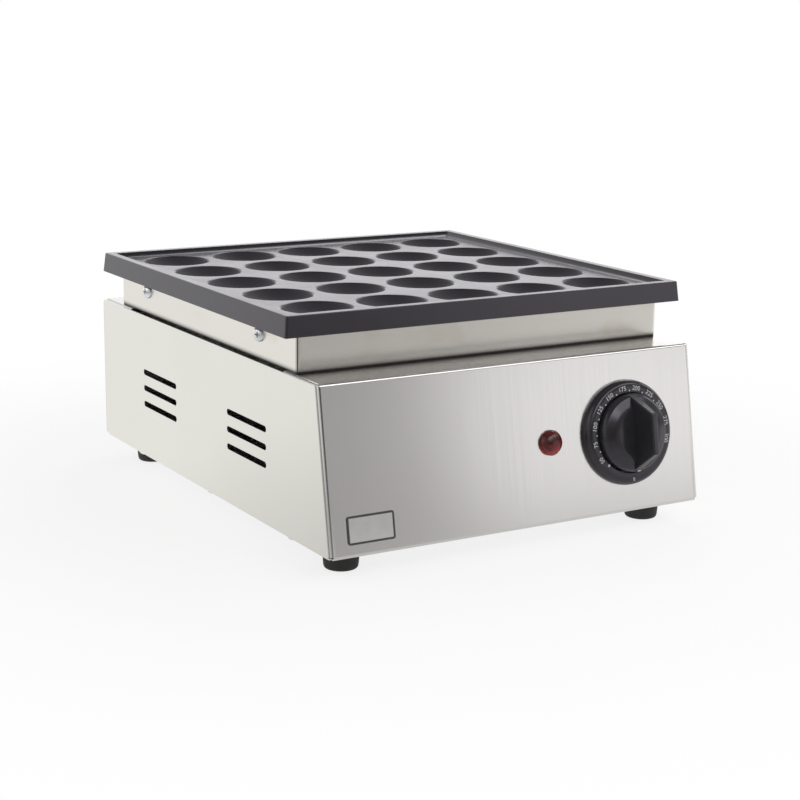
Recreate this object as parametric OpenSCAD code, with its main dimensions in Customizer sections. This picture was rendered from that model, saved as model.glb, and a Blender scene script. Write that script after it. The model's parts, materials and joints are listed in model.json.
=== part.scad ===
// Countertop mini-pancake griddle: a cast plate with a grid of dished cups on a sheet collar,
// above a folded casing with a raked front panel, a temperature dial and an indicator light.
// Millimetres. +Z is up, the front faces -Y, and the origin lies on the floor under the
// middle of the casing.

/* [Plate] */
// Columns of cups across the plate
columns = 5; // [3:1:6]
// Rows of cups from front to back
rows = 5; // [3:1:6]
// Diameter of a cup at the plate's surface
cup_d = 50; // [40:0.5:54]
// Depth of a cup
cup_depth = 8.5; // [6:0.5:10]
// Distance between cup centres
pitch = 57.5; // [56:0.5:62]
// Plate left beside the outer cups, at the top of the rim
margin_x = 18.3; // [17:0.1:26]
// Plate left in front of and behind the outer cups, at the top of the rim
margin_y = 14.5; // [14:0.1:22]
// Height of the plate's outer edge
lip_h = 14.2; // [12:0.1:20]
// How far each edge spreads from its top to its bottom
draft = 1.4; // [0.5:0.1:3]
// Radius of the plate's vertical corners, at the top
plate_r = 3.5; // [3:0.1:9]
// Radius of the rounded top edge
edge_r = 2; // [1:0.1:2.5]
// Height of the rim above the cups' surface
rim_h = 3.8; // [2:0.1:5]
// Width of the rim's flat top
rim_land = 6.5; // [5:0.1:8]
// Slope of the rim's inner wall, as its run
rim_slope = 2; // [1:0.1:3]
// Radius of the rim's inner corners, at the top
recess_r = 5; // [4:0.1:9]
// Thickness of the plate under its surface
plate_t = 13; // [12:0.5:16]
// Width of the rib under the plate, inside the collar
rib_w = 9; // [8:0.5:12]
// How far the rib reaches below the plate's edge
rib_h = 16; // [14:0.5:18]

/* [Collar] */
// Height of the collar between the ledges and the plate
collar_h = 26.2; // [24:0.1:36]
// How far the plate overhangs the collar at each side
overhang_x = 13.2; // [9:0.1:15]
// How far the plate overhangs the collar in front
overhang_front = 9.5; // [6:0.1:12]
// How far the plate overhangs the collar behind
overhang_rear = 6.5; // [6:0.1:12]
// Radius of the collar's corners
collar_r = 3; // [2.5:0.1:5]
// Height of the collar's side screws above the ledges
side_screw_h = 17.8; // [16:0.1:19]
// Distance between the two screws on one side
side_screw_span = 190; // [120:1:220]

/* [Casing] */
// Height of the casing from its underside to its ledges
body_h = 111.5; // [100:0.5:130]
// How far each casing side stands outside the collar
casing_step = 3.8; // [2:0.1:6]
// Ledge in front of the collar
front_reach = 33; // [25:0.5:45]
// Ledge behind the collar
rear_reach = 31; // [25:0.1:45]
// How far the front ledge runs in under the collar
front_lap = 15; // [14:0.5:20]
// How far the rear ledge runs in under the collar
rear_lap = 22.5; // [14:0.5:26]
// How far the front panel's lower edge stands ahead of its upper edge
rake_run = 19.8; // [6:0.1:26]
// Thickness of the sheet
sheet = 1; // [0.8:0.1:1.2]
// Outside radius of the folds
fold_r = 2.2; // [1.8:0.1:3]
// Width of the folded flanges
flange = 12; // [11:0.5:14]
// How far the side panels stop below the ledges
side_drop = 2.8; // [2.5:0.1:4]

/* [Vents] */
// Length of a vent slot
slot_l = 61; // [30:1:80]
// Height of a vent slot
slot_h = 4.4; // [3:0.1:6]
// Distance between the slots of a group
slot_pitch = 12.4; // [8:0.1:15]
// Slots in a group
slot_count = 3; // [2:1:4]
// Depth of the first slot below the ledges
slot_drop = 44.5; // [30:0.5:55]
// Distance between the two groups on a side
vent_span = 148; // [110:1:180]

/* [Controls] */
// Dial centre in from the casing's right side
dial_edge = 61.2; // [49:0.1:89]
// Dial and light below the front panel's upper edge, along the panel
control_drop = 57; // [48:0.5:60]
// Diameter of the dial's bezel
bezel_d = 73.8; // [70:0.1:80]
// How far the bezel's numbered face stands out
bezel_h = 6.5; // [6:0.1:9]
// Width of the bezel's numbered ring, at its back
bezel_ring = 9; // [8:0.1:11]
// Height of the knob's disc above the bezel's face
disc_rise = 7.5; // [5:0.1:9]
// Length of the knob's grip
grip_l = 50; // [44:0.5:50]
// Width of the grip at its foot
grip_w = 7; // [6.5:0.5:12]
// Width of the grip at its top
grip_top_w = 6; // [4:0.5:6.5]
// Height of the grip above the knob's disc
grip_h = 20; // [14:0.5:22]
// Run of the grip's sloping ends
grip_slope = 11; // [6:0.5:14]
// Indicator centre to the left of the dial's centre
lamp_apart = 64.2; // [58:0.1:88]
// Diameter of the indicator's lens
lens_d = 17.5; // [16:0.5:20]
// Height of the lens
lens_h = 6.5; // [5:0.5:9]
// Width of the badge plate
badge_w = 35; // [20:0.5:50]
// Height of the badge plate
badge_h = 18.6; // [12:0.1:25]
// Thickness of the badge plate
badge_t = 0.6; // [0.4:0.1:1]
// Badge centre in from the casing's left side
badge_edge = 31.4; // [29:0.1:59]
// Badge centre below the front panel's upper edge, along the panel
badge_drop = 95.2; // [80:0.1:96]

/* [Feet] */
// Height of the casing above the floor
foot_h = 16.5; // [12:0.5:20]
// Diameter of a foot at its top
foot_d = 26; // [20:0.5:30]
// Diameter of a foot on the floor
foot_floor_d = 23; // [16:0.5:26]
// Feet in from the casing's front and rear edges
foot_inset = 33; // [29:0.5:45]

/* [Heating] */
// Diameter of the heating tube
tube_d = 8; // [6.5:0.1:8.5]
// Width of a clamp bar
bar_w = 20; // [14:0.5:24]
// Thickness of a clamp bar
bar_t = 3; // [2:0.1:4]
// Diameter of the sensor bulb
bulb_d = 6; // [4:0.1:6.2]
// Length of the sensor bulb
bulb_l = 96; // [80:1:120]
// Depth of the heat shield pan below the ledges
pan_depth = 16; // [14:0.5:20]
// Thickness of the insulation board
board_t = 10; // [6:0.5:12]

/* [Electrical] */
// Width and height of the thermostat
thermostat_w = 44; // [40:0.5:48]
// Depth of the thermostat behind the panel
thermostat_l = 30; // [26:0.5:36]
// Diameter of the spindle
spindle_d = 6; // [5:0.1:8]
// Cable gland in from the casing's right side
gland_edge = 59; // [39:1:109]
// Cable gland above the casing's underside
gland_z = 32; // [26:0.5:60]
// Diameter of the gland's thread
gland_d = 16; // [14:0.5:20]
// Diameter of the cable that the gland takes
cable_d = 8; // [6:0.1:9]
// How far the gland stands out behind
gland_out = 18; // [16:0.5:24]
// Terminal block's distance in front of the rear panel
block_back = 62; // [50:1:90]

/* [Fits] */
// Radial clearance of screws, studs and the gland in their holes
hole_gap = 0.2; // [0.1:0.05:0.4]
// Radial clearance of the spindle in the thermostat
spindle_gap = 0.05; // [0.03:0.01:0.08]
// Gap between round pieces and the faces that carry them
rest_gap = 0.05; // [0.02:0.01:0.2]
// Gap between the plate's rib and the collar
rib_gap = 0.5; // [0.3:0.1:1]
// Gap between the knob's disc and the bezel
knob_gap = 0.6; // [0.4:0.1:1]
// Gap between loose sheet and board edges and their neighbours
edge_gap = 1; // [0.5:0.1:1.5]

/* [Hidden] */

$fn = 64;

// Segments in a fold, and in the plate's rounded edge
fold_steps = 6;
edge_steps = 5;
// How far cutting shapes run past the faces they cut
over = 1;

// Levels
base_z = foot_h;
top_z = base_z + body_h;
lip_z = top_z + collar_h;
rim_z = lip_z + lip_h;
cup_z = rim_z - rim_h;
ceiling_z = cup_z - plate_t;
rib_z = lip_z - rib_h;
floor_z = base_z + 2 * sheet;

// Plan sizes, from the cups outwards
plate_w = (columns - 1) * pitch + cup_d + 2 * (margin_x + draft);
plate_d = (rows - 1) * pitch + cup_d + 2 * (margin_y + draft);
collar_w = plate_w - 2 * overhang_x;
collar_d = plate_d - overhang_front - overhang_rear;
body_w = collar_w + 2 * casing_step;
base_d = front_reach + collar_d + rear_reach + rake_run;
inner_w = body_w - 2 * sheet;

// Places across, from the casing's sides
dial_x = body_w / 2 - dial_edge;
lamp_x = dial_x - lamp_apart;
badge_x = body_w / 2 - badge_edge;
gland_x = body_w / 2 - gland_edge;

// How far the knob and the cable gland stand past the casing's base, and the casing's middle between them
rake = atan(rake_run / body_h);
knob_past = (control_drop + grip_l / 2 - grip_slope) * sin(rake)
    + (bezel_h + disc_rise + grip_h) * cos(rake) - rake_run;
mid_y = (knob_past - gland_out) / 2;

// Stations from front to back
rear_y = mid_y + base_d / 2;
front_base_y = mid_y - base_d / 2;
front_top_y = front_base_y + rake_run;
collar_front = front_top_y + front_reach;
collar_back = collar_front + collar_d;
collar_y = (collar_front + collar_back) / 2;
plate_y = collar_front - overhang_front + plate_d / 2;
front_ledge_y = collar_front + front_lap;
rear_ledge_y = collar_back - rear_lap;

// The raked front panel
panel_l = norm([rake_run, body_h]);
top_tangent = fold_r / tan((90 + rake) / 2);
base_tangent = fold_r / tan((90 - rake) / 2);

// Screws and nuts: [shank diameter, head diameter, head height, nut across flats, nut height]
M3 = [3, 5.6, 2.4, 5.5, 2.4];
M4 = [4, 8, 3.1, 7, 3.2];
M5 = [5, 10.5, 3.8, 8, 4];
M6 = [6, 12, 4.6, 10, 5];
// Thread standing out past a nut
thread_past = 1.5;

// Screws along the casing's flanges
base_screw_span = base_d - 2 * foot_inset - 60;
base_screw_x = body_w / 2 - flange / 2 - sheet / 2;
rear_screw_inset = sheet + M4[3] / cos(30) / 2 + edge_gap / 2;
rear_screw_drop = 34.5;
rear_screw_low = 30;
rear_screw_z = [base_z + rear_screw_low, top_z - rear_screw_drop];
collar_flange = 13;
flange_screw_x = 80;
flange_screw_in = 8;
stack_z = top_z + 2 * sheet;

// Feet
foot_x = body_w / 2 - flange - foot_d / 2 - edge_gap;
foot_front_y = front_base_y + foot_inset;
foot_rear_y = rear_y - foot_inset;
foot_stud_depth = 9;
foot_edge = 1;

// Side panels and the flanges that the front and rear panels tuck behind them
reveal = fold_r / cos(rake);
side_top_z = top_z - side_drop;
vent_y = mid_y + rake_run / 4;
flange_end = 3.6;

// Heat shield pan and insulation board
pan_z = top_z - pan_depth;
pan_inset = 10;
pass_gap = 2;
pan_half = collar_w / 2 - pan_inset;
pan_front = front_ledge_y + edge_gap;
pan_back = rear_ledge_y - edge_gap;

// Heating tube: four legs under the plate, joined by half turns, with two ends turned down
tube_z = ceiling_z - tube_d / 2 - rest_gap;
leg_gap = pitch * 4 / 3;
leg_x = [for (i = [-1.5:1:1.5]) i * leg_gap];
leg_half = pitch * 1.5;
tube_end_r = 14;
tube_end_y = plate_y - leg_half - tube_end_r;
tube_low_z = pan_z - 14;
pin_d = 4;
pin_l = 8;
pin_z = tube_low_z - pin_l;
tube_sides = 12;
tube_steps = 8;

// Clamp bars under the legs, their studs between the cups
bar_z = tube_z - tube_d / 2 - rest_gap - bar_t;
bar_y = [for (s = [-1, 1]) plate_y + s * pitch / 2];
bar_l = 3 * leg_gap + 26;
stud_x = 1.5 * pitch;
stud_depth = 8;

// Sensor bulb along the middle, packed off the clamp bars
bulb_z = ceiling_z - bulb_d / 2 - rest_gap;
pad_w = 16;
pad_h = bulb_z - bulb_d / 2 - rest_gap - (bar_z + bar_t);
capillary_d = 2;

// Thermostat, spindle, bezel and knob, measured along the panel's outward normal
thermostat_bore = 22;
thermostat_screw_x = 14;
thermostat_screw_l = 8;
screw_low_h = 2.2;
screw_low_d = 7;
tab_w = 6.3;
tab_t = 0.8;
tab_l = 8;
tab_x = [-12, 0, 12];
bezel_base = 1.5;
bezel_in = bezel_d / 2 - bezel_ring;
bezel_lean = 1.2;
bezel_round = 0.7;
spindle_hole_d = spindle_d + 4;
disc_r = bezel_in - knob_gap;
disc_z = bezel_h + disc_rise;
disc_under = bezel_base + screw_low_h + knob_gap;
disc_run = 2.2;
disc_fall = 3.8;
hub_r = spindle_d / 2 + 4;
hub_under = bezel_base + knob_gap;
spindle_cover = 2;
knob_top = disc_z + grip_h;
spindle_top = disc_z - spindle_cover;
spindle_flat = spindle_d / 2 - 1;

// Indicator light
lamp_neck_d = 12;
lamp_l = 26;
lens_rim = 2.2;
lamp_nut_w = 17;
lamp_nut_h = 4;
lamp_tab_x = 3;

// Cable gland on the rear panel, and the terminal block on the base plate
gland_hex = gland_d + 5;
gland_flange = 4;
gland_nut_h = 5;
gland_inside = 10;
gland_wall = 1.8;
seal_l = 7;
block_w = 52;
block_d = 22;
block_h = 20;
block_ways = 4;
block_pitch = 10;
block_hole_z = 8;
block_screw_x = 23;
block_y = rear_y - block_back;
block_way_x = [for (i = [0:block_ways - 1]) gland_x + (i - (block_ways - 1) / 2) * block_pitch];
clamp_screw_d = 4;
clamp_screw_l = 7;
wire_d = 2.8;
wire_in = 6;
earth_x = gland_x - 50;
earth_y = block_y - 25;

STEEL = [0.82, 0.82, 0.80];
DARK_STEEL = [0.62, 0.62, 0.62];
COATING = [0.16, 0.15, 0.16];
BLACK = [0.10, 0.10, 0.10];
WHITE = [0.92, 0.92, 0.90];
ZINC = [0.72, 0.73, 0.74];
BRASS = [0.80, 0.66, 0.32];
RUBBER = [0.13, 0.13, 0.13];

// Plane geometry: unit vectors, mitred offsets and rounded corners
function unit(v) = v / norm(v);
function left_of(v) = [-v[1], v[0]];
function heading(path, i) = unit(path[i + 1] - path[i]);
function shifted(path, t) = [
    for (i = [0:len(path) - 1])
        let (a = left_of(heading(path, max(i - 1, 0))),
             b = left_of(heading(path, min(i, len(path) - 2))))
        path[i] + t * (a + b) / (1 + a * b)
];
function corner(before, at, after, r, steps) =
    let (a = unit(before - at),
         b = unit(after - at),
         half = acos(a * b) / 2,
         centre = at + unit(a + b) * r / sin(half),
         first = at + a * r / tan(half) - centre,
         last = at + b * r / tan(half) - centre,
         sweep = 180 - 2 * half)
    [for (i = [0:steps])
        centre + (first * sin(sweep * (1 - i / steps)) + last * sin(sweep * i / steps)) / sin(sweep)];
// Rounds a path's inner corners, with one radius or a list of them
function rounded(path, r, steps) = [
    path[0],
    for (i = [1:len(path) - 2])
        each corner(path[i - 1], path[i], path[i + 1], is_list(r) ? r[i] : r, steps),
    path[len(path) - 1]
];
function reversed(path) = [for (i = [len(path) - 1:-1:0]) path[i]];
// Outline of a folded sheet whose outer face follows the path, with the sheet on its left
function folded(path) = concat(
    rounded(path, fold_r, fold_steps),
    reversed(rounded(shifted(path, sheet), fold_r - sheet, fold_steps))
);
function square_folded(path) = concat(path, reversed(shifted(path, sheet)));

// Placing
module along_x(x0, x1) {
    translate([x0, 0, 0]) rotate([90, 0, 90]) linear_extrude(x1 - x0) children();
}
module along_y(y0, y1) {
    translate([0, y1, 0]) rotate([90, 0, 0]) linear_extrude(y1 - y0) children();
}
module block(low, high) {
    translate(low) cube(high - low);
}
module both_sides() {
    children();
    mirror([1, 0, 0]) children();
}
// On the front panel: X to the right, Y up the panel, Z out of it
module on_front(x, drop) {
    translate([x, front_top_y, top_z]) rotate([90 - rake, 0, 0]) translate([0, -drop, 0]) children();
}
// On the rear panel: Z out of it
module on_rear(x, z) {
    translate([x, rear_y, z]) rotate([-90, 0, 0]) children();
}
module rounded_rectangle(w, d, r) {
    square([w - 2 * r, d], center = true);
    square([w, d - 2 * r], center = true);
    for (x = [-1, 1], y = [-1, 1]) translate([x * (w / 2 - r), y * (d / 2 - r)]) circle(r);
}
// A rounded-rectangle solid: the outline [radius, height] goes round four corner centres
module moulded(half_x, half_y, outline) {
    module section(half) {
        polygon(concat([for (p = outline) [half + p[0], p[1]]],
                       [for (p = reversed(outline)) [-half - p[0], p[1]]]));
    }
    along_y(-half_y, half_y) section(half_x);
    along_x(-half_x, half_x) section(half_y);
    corner_section = concat(outline, [[0, outline[len(outline) - 1][1]], [0, outline[0][1]]]);
    for (x = [-1, 1], y = [-1, 1])
        translate([x * half_x, y * half_y]) rotate_extrude() polygon(corner_section);
}

// Fasteners stand along Z with the seat of the head or nut at 0
module pan_head(size) {
    dome = size[2] * 0.45;
    rotate_extrude()
        polygon([[0, 0], [size[1] / 2, 0], [size[1] / 2, size[2] - dome],
                 [size[1] / 2 - dome * 0.4, size[2] - dome * 0.35],
                 [size[1] / 2 - dome, size[2]], [0, size[2]]]);
}
module pan_screw(size, length) {
    pan_head(size);
    translate([0, 0, -length]) cylinder(d = size[0], h = length);
}
module hole(size, length) {
    translate([0, 0, -length]) cylinder(d = size[0] + 2 * hole_gap, h = 2 * length);
}
module hexagon(across, h) {
    cylinder(d = across / cos(30), h = h, $fn = 6);
}
module nut(size) {
    difference() {
        hexagon(size[3], size[4]);
        translate([0, 0, -over]) cylinder(d = size[0] + 2 * hole_gap, h = size[4] + 2 * over);
    }
}
module stud(size, length) {
    cylinder(d = size[0], h = length);
}

// Where fasteners go
module at_cups() {
    for (i = [0:columns - 1], j = [0:rows - 1])
        translate([(i - (columns - 1) / 2) * pitch, plate_y + (j - (rows - 1) / 2) * pitch, 0]) children();
}
// Z points out of the collar's side
module at_side_screws() {
    for (s = [-1, 1], y = [-1, 1])
        translate([s * collar_w / 2, collar_y + y * side_screw_span / 2, top_z + side_screw_h])
            rotate([0, s * 90, 0]) children();
}
module at_feet(z) {
    for (s = [-1, 1], y = [foot_front_y, foot_rear_y]) translate([s * foot_x, y, z]) children();
}
module at_base_screws(z) {
    for (s = [-1, 1], y = [-1, 0, 1])
        translate([s * base_screw_x, mid_y + y * base_screw_span / 2, z]) children();
}
module at_flange_screws(z) {
    for (s = [-1, 1], y = [collar_front + flange_screw_in, collar_back - flange_screw_in])
        translate([s * flange_screw_x, y, z]) children();
}
module at_rear_screws() {
    for (s = [-1, 1], z = rear_screw_z) on_rear(s * (body_w / 2 - rear_screw_inset), z) children();
}
module at_clamp_studs(z) {
    for (s = [-1, 1], y = bar_y) translate([s * stud_x, y, z]) children();
}
module at_block_screws(z) {
    for (s = [-1, 1]) translate([gland_x + s * block_screw_x, block_y, z]) children();
}

// Tubes swept along a route, with rounded corners
// Never along any route, so it can turn the tubes' rings
ring_aim = [0.36, 0.48, 0.8];
function tangent(path, i) = unit(path[min(i + 1, len(path) - 1)] - path[max(i - 1, 0)]);
function ring(path, i, r, sides) =
    let (t = tangent(path, i), u = unit(cross(t, ring_aim)), v = cross(t, u))
    [for (k = [0:sides - 1])
        let (a = 360 * k / sides) path[i] + r * (u * cos(a) + v * sin(a))];
module tube(route, d, bend, sides, steps) {
    path = rounded(route, bend, steps);
    last = len(path) - 1;
    points = [for (i = [0:last]) each ring(path, i, d / 2, sides)];
    wall = [for (i = [0:last - 1], k = [0:sides - 1])
        let (a = i * sides + k, b = i * sides + (k + 1) % sides)
        each [[a, b, b + sides], [a, b + sides, a + sides]]];
    start = [for (k = [1:sides - 2]) [0, k + 1, k]];
    end = [for (k = [1:sides - 2]) [last * sides, last * sides + k, last * sides + k + 1]];
    polyhedron(points, concat(start, wall, end));
}

// Plate
module plate_body() {
    half_x = plate_w / 2 - draft - plate_r;
    half_y = plate_d / 2 - draft - plate_r;
    edge = [for (i = [0:edge_steps])
        let (a = 90 * i / edge_steps) [plate_r - edge_r * (1 - cos(a)), rim_z - edge_r * (1 - sin(a))]];
    translate([0, plate_y, 0]) moulded(half_x, half_y, concat([[plate_r + draft, lip_z]], edge));
}
module rim_recess() {
    half_x = plate_w / 2 - draft - rim_land - recess_r;
    half_y = plate_d / 2 - draft - rim_land - recess_r;
    slope = rim_slope / rim_h;
    translate([0, plate_y, 0])
        moulded(half_x, half_y,
                [[recess_r - rim_slope, cup_z], [recess_r + slope * over, rim_z + over]]);
}
module cup() {
    ball_r = (pow(cup_d / 2, 2) + pow(cup_depth, 2)) / (2 * cup_depth);
    translate([0, 0, cup_z + ball_r - cup_depth]) sphere(ball_r, $fn = 96);
}
module plate_rib() {
    w = collar_w - 2 * (sheet + rib_gap);
    d = collar_d - 2 * (sheet + rib_gap);
    translate([0, collar_y, rib_z]) linear_extrude(lip_z - rib_z + over) difference() {
        rounded_rectangle(w, d, collar_r);
        square([w - 2 * rib_w, d - 2 * rib_w], center = true);
    }
}
module plate_web() {
    w = collar_w - 2 * (sheet + rib_gap) - 2 * rib_w;
    d = collar_d - 2 * (sheet + rib_gap) - 2 * rib_w;
    translate([-w / 2 - over, collar_y - d / 2 - over, ceiling_z])
        cube([w + 2 * over, d + 2 * over, lip_z - ceiling_z + over]);
}
module griddle_plate() {
    color(COATING) difference() {
        union() {
            plate_body();
            plate_rib();
            plate_web();
        }
        rim_recess();
        at_cups() cup();
        at_side_screws() hole(M5, rib_w + sheet + rib_gap);
        at_clamp_studs(ceiling_z) hole(M6, stud_depth);
    }
}

// Collar
module collar() {
    color(STEEL) difference() {
        union() {
            translate([0, collar_y, top_z]) linear_extrude(collar_h) difference() {
                rounded_rectangle(collar_w, collar_d, collar_r);
                rounded_rectangle(collar_w - 2 * sheet, collar_d - 2 * sheet, collar_r - sheet);
            }
            flange_half = collar_w / 2 - collar_r;
            block([-flange_half, collar_front + sheet / 2, top_z],
                  [flange_half, collar_front + sheet + collar_flange, top_z + sheet]);
            block([-flange_half, collar_back - sheet - collar_flange, top_z],
                  [flange_half, collar_back - sheet / 2, top_z + sheet]);
        }
        at_side_screws() hole(M5, 3 * sheet);
        at_flange_screws(top_z) hole(M4, 3 * sheet);
    }
}
module collar_side_screws() {
    color(ZINC) at_side_screws() pan_screw(M5, sheet + rib_gap + rib_w - 1);
}
module collar_flange_screws() {
    length = 3 * sheet + M4[4] + thread_past;
    color(ZINC) at_flange_screws(stack_z) pan_screw(M4, length);
}
module collar_flange_nuts() {
    color(ZINC) at_flange_screws(top_z - sheet - M4[4]) nut(M4);
}

// Casing
// Fold and flange of a ledge's end, from one station to another, on the right
module ledge_end(y0, y1) {
    along_y(y0, y1) polygon(folded([
        [inner_w / 2, top_z - flange], [inner_w / 2, top_z], [inner_w / 2 - 2 * fold_r, top_z]]));
}
// Room for the side panel's lower flange at the end of a lower flange, on the right
module flange_notch(y0, y1) {
    block([body_w / 2 - flange - edge_gap, y0, base_z - over], [body_w / 2, y1, base_z + 2 * sheet]);
}
// The solid corner where the ledge's end fold, the face's side fold and the upper edge meet
module fold_corner() {
    reach = 3 * fold_r;
    side = inner_w / 2;
    along = [[side - reach, 0], [side, 0], [side, reach]];
    intersection() {
        along_x(side - fold_r, side)
            polygon(rounded([[front_top_y + reach, top_z], [front_top_y, top_z],
                             [front_top_y - reach * tan(rake), top_z - reach]], fold_r, fold_steps));
        along_y(front_top_y - reach, front_top_y + reach)
            polygon([for (p = rounded(along, fold_r, fold_steps)) [p[0], top_z - p[1]]]);
        on_front(0, reach) rotate([-90, 0, 0]) linear_extrude(2 * reach)
            polygon(rounded(along, fold_r, fold_steps));
    }
}
module front_panel() {
    sheet_half = inner_w / 2 - fold_r;
    path = [[front_ledge_y, top_z], [front_top_y, top_z], [front_base_y, base_z],
            [front_base_y + flange, base_z]];
    color(STEEL) difference() {
        union() {
            along_x(-sheet_half, sheet_half) polygon(folded(path));
            both_sides() {
                ledge_end(front_top_y + top_tangent, front_ledge_y);
                on_front(0, panel_l - base_tangent) rotate([-90, 0, 0])
                    linear_extrude(panel_l - base_tangent - top_tangent)
                        polygon(folded([[inner_w / 2 - 2 * fold_r, 0], [inner_w / 2, 0],
                                        [inner_w / 2, flange]]));
                fold_corner();
            }
        }
        both_sides() flange_notch(front_base_y + flange_end, front_base_y + flange + over);
        on_front(dial_x, control_drop) {
            cylinder(d = spindle_hole_d, h = 4 * sheet, center = true);
            for (s = [-1, 1]) translate([s * thermostat_screw_x, 0, 0]) hole(M4, 2 * sheet);
        }
        on_front(lamp_x, control_drop) cylinder(d = lamp_neck_d + 2 * hole_gap, h = 4 * sheet, center = true);
        at_flange_screws(top_z) hole(M4, 3 * sheet);
    }
}
module rear_panel() {
    path = [[rear_y - flange, base_z], [rear_y, base_z], [rear_y, top_z], [rear_ledge_y, top_z]];
    color(STEEL) difference() {
        union() {
            along_x(-inner_w / 2 + fold_r, inner_w / 2 - fold_r) polygon(folded(path));
            both_sides() {
                ledge_end(rear_ledge_y, rear_y - 2 * sheet - edge_gap);
                block([inner_w / 2 - 2 * fold_r, rear_y - sheet, base_z + fold_r],
                      [body_w / 2, rear_y, side_top_z]);
            }
        }
        both_sides() flange_notch(rear_y - flange - over, rear_y - flange_end);
        at_rear_screws() hole(M4, 3 * sheet);
        on_rear(gland_x, base_z + gland_z) cylinder(d = gland_d + 2 * hole_gap, h = 4 * sheet, center = true);
        at_flange_screws(top_z) hole(M4, 3 * sheet);
    }
}
module vent_slots() {
    r = slot_h / 2;
    for (g = [-1, 1], i = [0:slot_count - 1])
        translate([body_w / 2, vent_y + g * vent_span / 2, top_z - slot_drop - i * slot_pitch])
            rotate([90, 0, 90]) linear_extrude(6 * sheet, center = true) {
                square([slot_l - slot_h, slot_h], center = true);
                for (s = [-1, 1]) translate([s * (slot_l / 2 - r), 0]) circle(r);
            }
}
// The right side panel; the left one is its mirror image
module side_panel() {
    low_z = base_z + fold_r;
    back = rear_y - sheet;
    difference() {
        union() {
            along_x(body_w / 2 - sheet, body_w / 2)
                polygon([[front_top_y - (top_z - side_top_z) * tan(rake) + reveal, side_top_z],
                         [front_top_y - (top_z - low_z) * tan(rake) + reveal, low_z],
                         [back, low_z], [back, side_top_z]]);
            along_y(front_base_y + flange_end + edge_gap, rear_y - flange_end - edge_gap)
                polygon(folded([[body_w / 2 - flange, base_z], [body_w / 2, base_z],
                                [body_w / 2, low_z + fold_r]]));
            block([body_w / 2 - flange, back - sheet, low_z + 2 * sheet],
                  [body_w / 2 - sheet / 2, back, top_z - flange - edge_gap]);
        }
        vent_slots();
        at_base_screws(base_z) hole(M4, 3 * sheet);
        at_rear_screws() hole(M4, 4 * sheet);
    }
}
module left_side_panel() {
    color(STEEL) mirror([1, 0, 0]) side_panel();
}
module right_side_panel() {
    color(STEEL) side_panel();
}
module base_vents() {
    for (s = [-1, 1], i = [0:slot_count - 1])
        translate([s * vent_span / 4, (i - (slot_count - 1) / 2) * 2 * slot_pitch - slot_pitch, floor_z])
            linear_extrude(4 * sheet, center = true) {
                square([slot_l - slot_h, slot_h], center = true);
                for (e = [-1, 1]) translate([e * (slot_l - slot_h) / 2, 0]) circle(slot_h / 2);
            }
}
module base_plate() {
    half = inner_w / 2 - sheet - edge_gap / 2;
    color(DARK_STEEL) difference() {
        block([-half, front_base_y + flange_end, base_z + sheet], [half, rear_y - flange_end, floor_z]);
        base_vents();
        at_feet(floor_z) hole(M6, 2 * sheet);
        at_base_screws(floor_z) hole(M4, 2 * sheet);
        at_block_screws(floor_z) hole(M3, 2 * sheet);
        translate([earth_x, earth_y, floor_z]) hole(M5, 2 * sheet);
    }
}
module base_screws() {
    color(ZINC) at_base_screws(base_z) mirror([0, 0, 1]) pan_screw(M4, 2 * sheet + M4[4] + thread_past);
}
module base_nuts() {
    color(ZINC) at_base_screws(floor_z) nut(M4);
}
module rear_panel_screws() {
    color(ZINC) at_rear_screws() pan_screw(M4, 2 * sheet + M4[4] + thread_past);
}
module rear_panel_nuts() {
    color(ZINC) at_rear_screws() translate([0, 0, -2 * sheet - M4[4]]) nut(M4);
}
module badge_plate() {
    color(DARK_STEEL) on_front(-badge_x, badge_drop)
        linear_extrude(badge_t) rounded_rectangle(badge_w, badge_h, 1);
}

// Feet
module foot(x, y) {
    color(RUBBER) translate([x, y, 0]) difference() {
        rotate_extrude()
            polygon([[0, 0], [foot_floor_d / 2 - foot_edge, 0], [foot_floor_d / 2, foot_edge],
                     [foot_d / 2, base_z], [foot_d / 2, base_z + sheet], [0, base_z + sheet]]);
        translate([0, 0, base_z + sheet]) hole(M6, foot_stud_depth);
    }
}
module foot_front_left() {
    foot(-foot_x, foot_front_y);
}
module foot_front_right() {
    foot(foot_x, foot_front_y);
}
module foot_rear_left() {
    foot(-foot_x, foot_rear_y);
}
module foot_rear_right() {
    foot(foot_x, foot_rear_y);
}
module foot_studs() {
    color(ZINC) at_feet(base_z + sheet - foot_stud_depth)
        stud(M6, foot_stud_depth + sheet + M6[4] + thread_past);
}
module foot_nuts() {
    color(ZINC) at_feet(floor_z) nut(M6);
}

// Heating
module tube_openings(h) {
    for (s = [-1, 1]) translate([s * leg_x[3], tube_end_y, pan_z])
        cylinder(d = tube_d + 2 * pass_gap, h = h, center = true);
    translate([0, capillary_hole_y, pan_z]) cylinder(d = capillary_d + 2 * pass_gap, h = h, center = true);
}
module heat_shield_pan() {
    seat = top_z + sheet;
    lower = [[collar_front + 2 * sheet, seat], [pan_front, seat], [pan_front, pan_z], [pan_back, pan_z],
             [pan_back, seat], [collar_back - 2 * sheet, seat]];
    color(DARK_STEEL) difference() {
        union() {
            along_x(-pan_half, pan_half) polygon(square_folded(lower));
            both_sides() block([pan_half - sheet, pan_front, pan_z], [pan_half, pan_back, seat]);
        }
        at_flange_screws(stack_z) hole(M4, 3 * sheet);
        tube_openings(6 * sheet);
    }
}
module insulation_board() {
    color(WHITE) difference() {
        block([-pan_half + sheet + edge_gap, pan_front + sheet + edge_gap, pan_z + sheet],
              [pan_half - sheet - edge_gap, pan_back - sheet - edge_gap, pan_z + sheet + board_t]);
        tube_openings(4 * board_t);
    }
}
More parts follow.
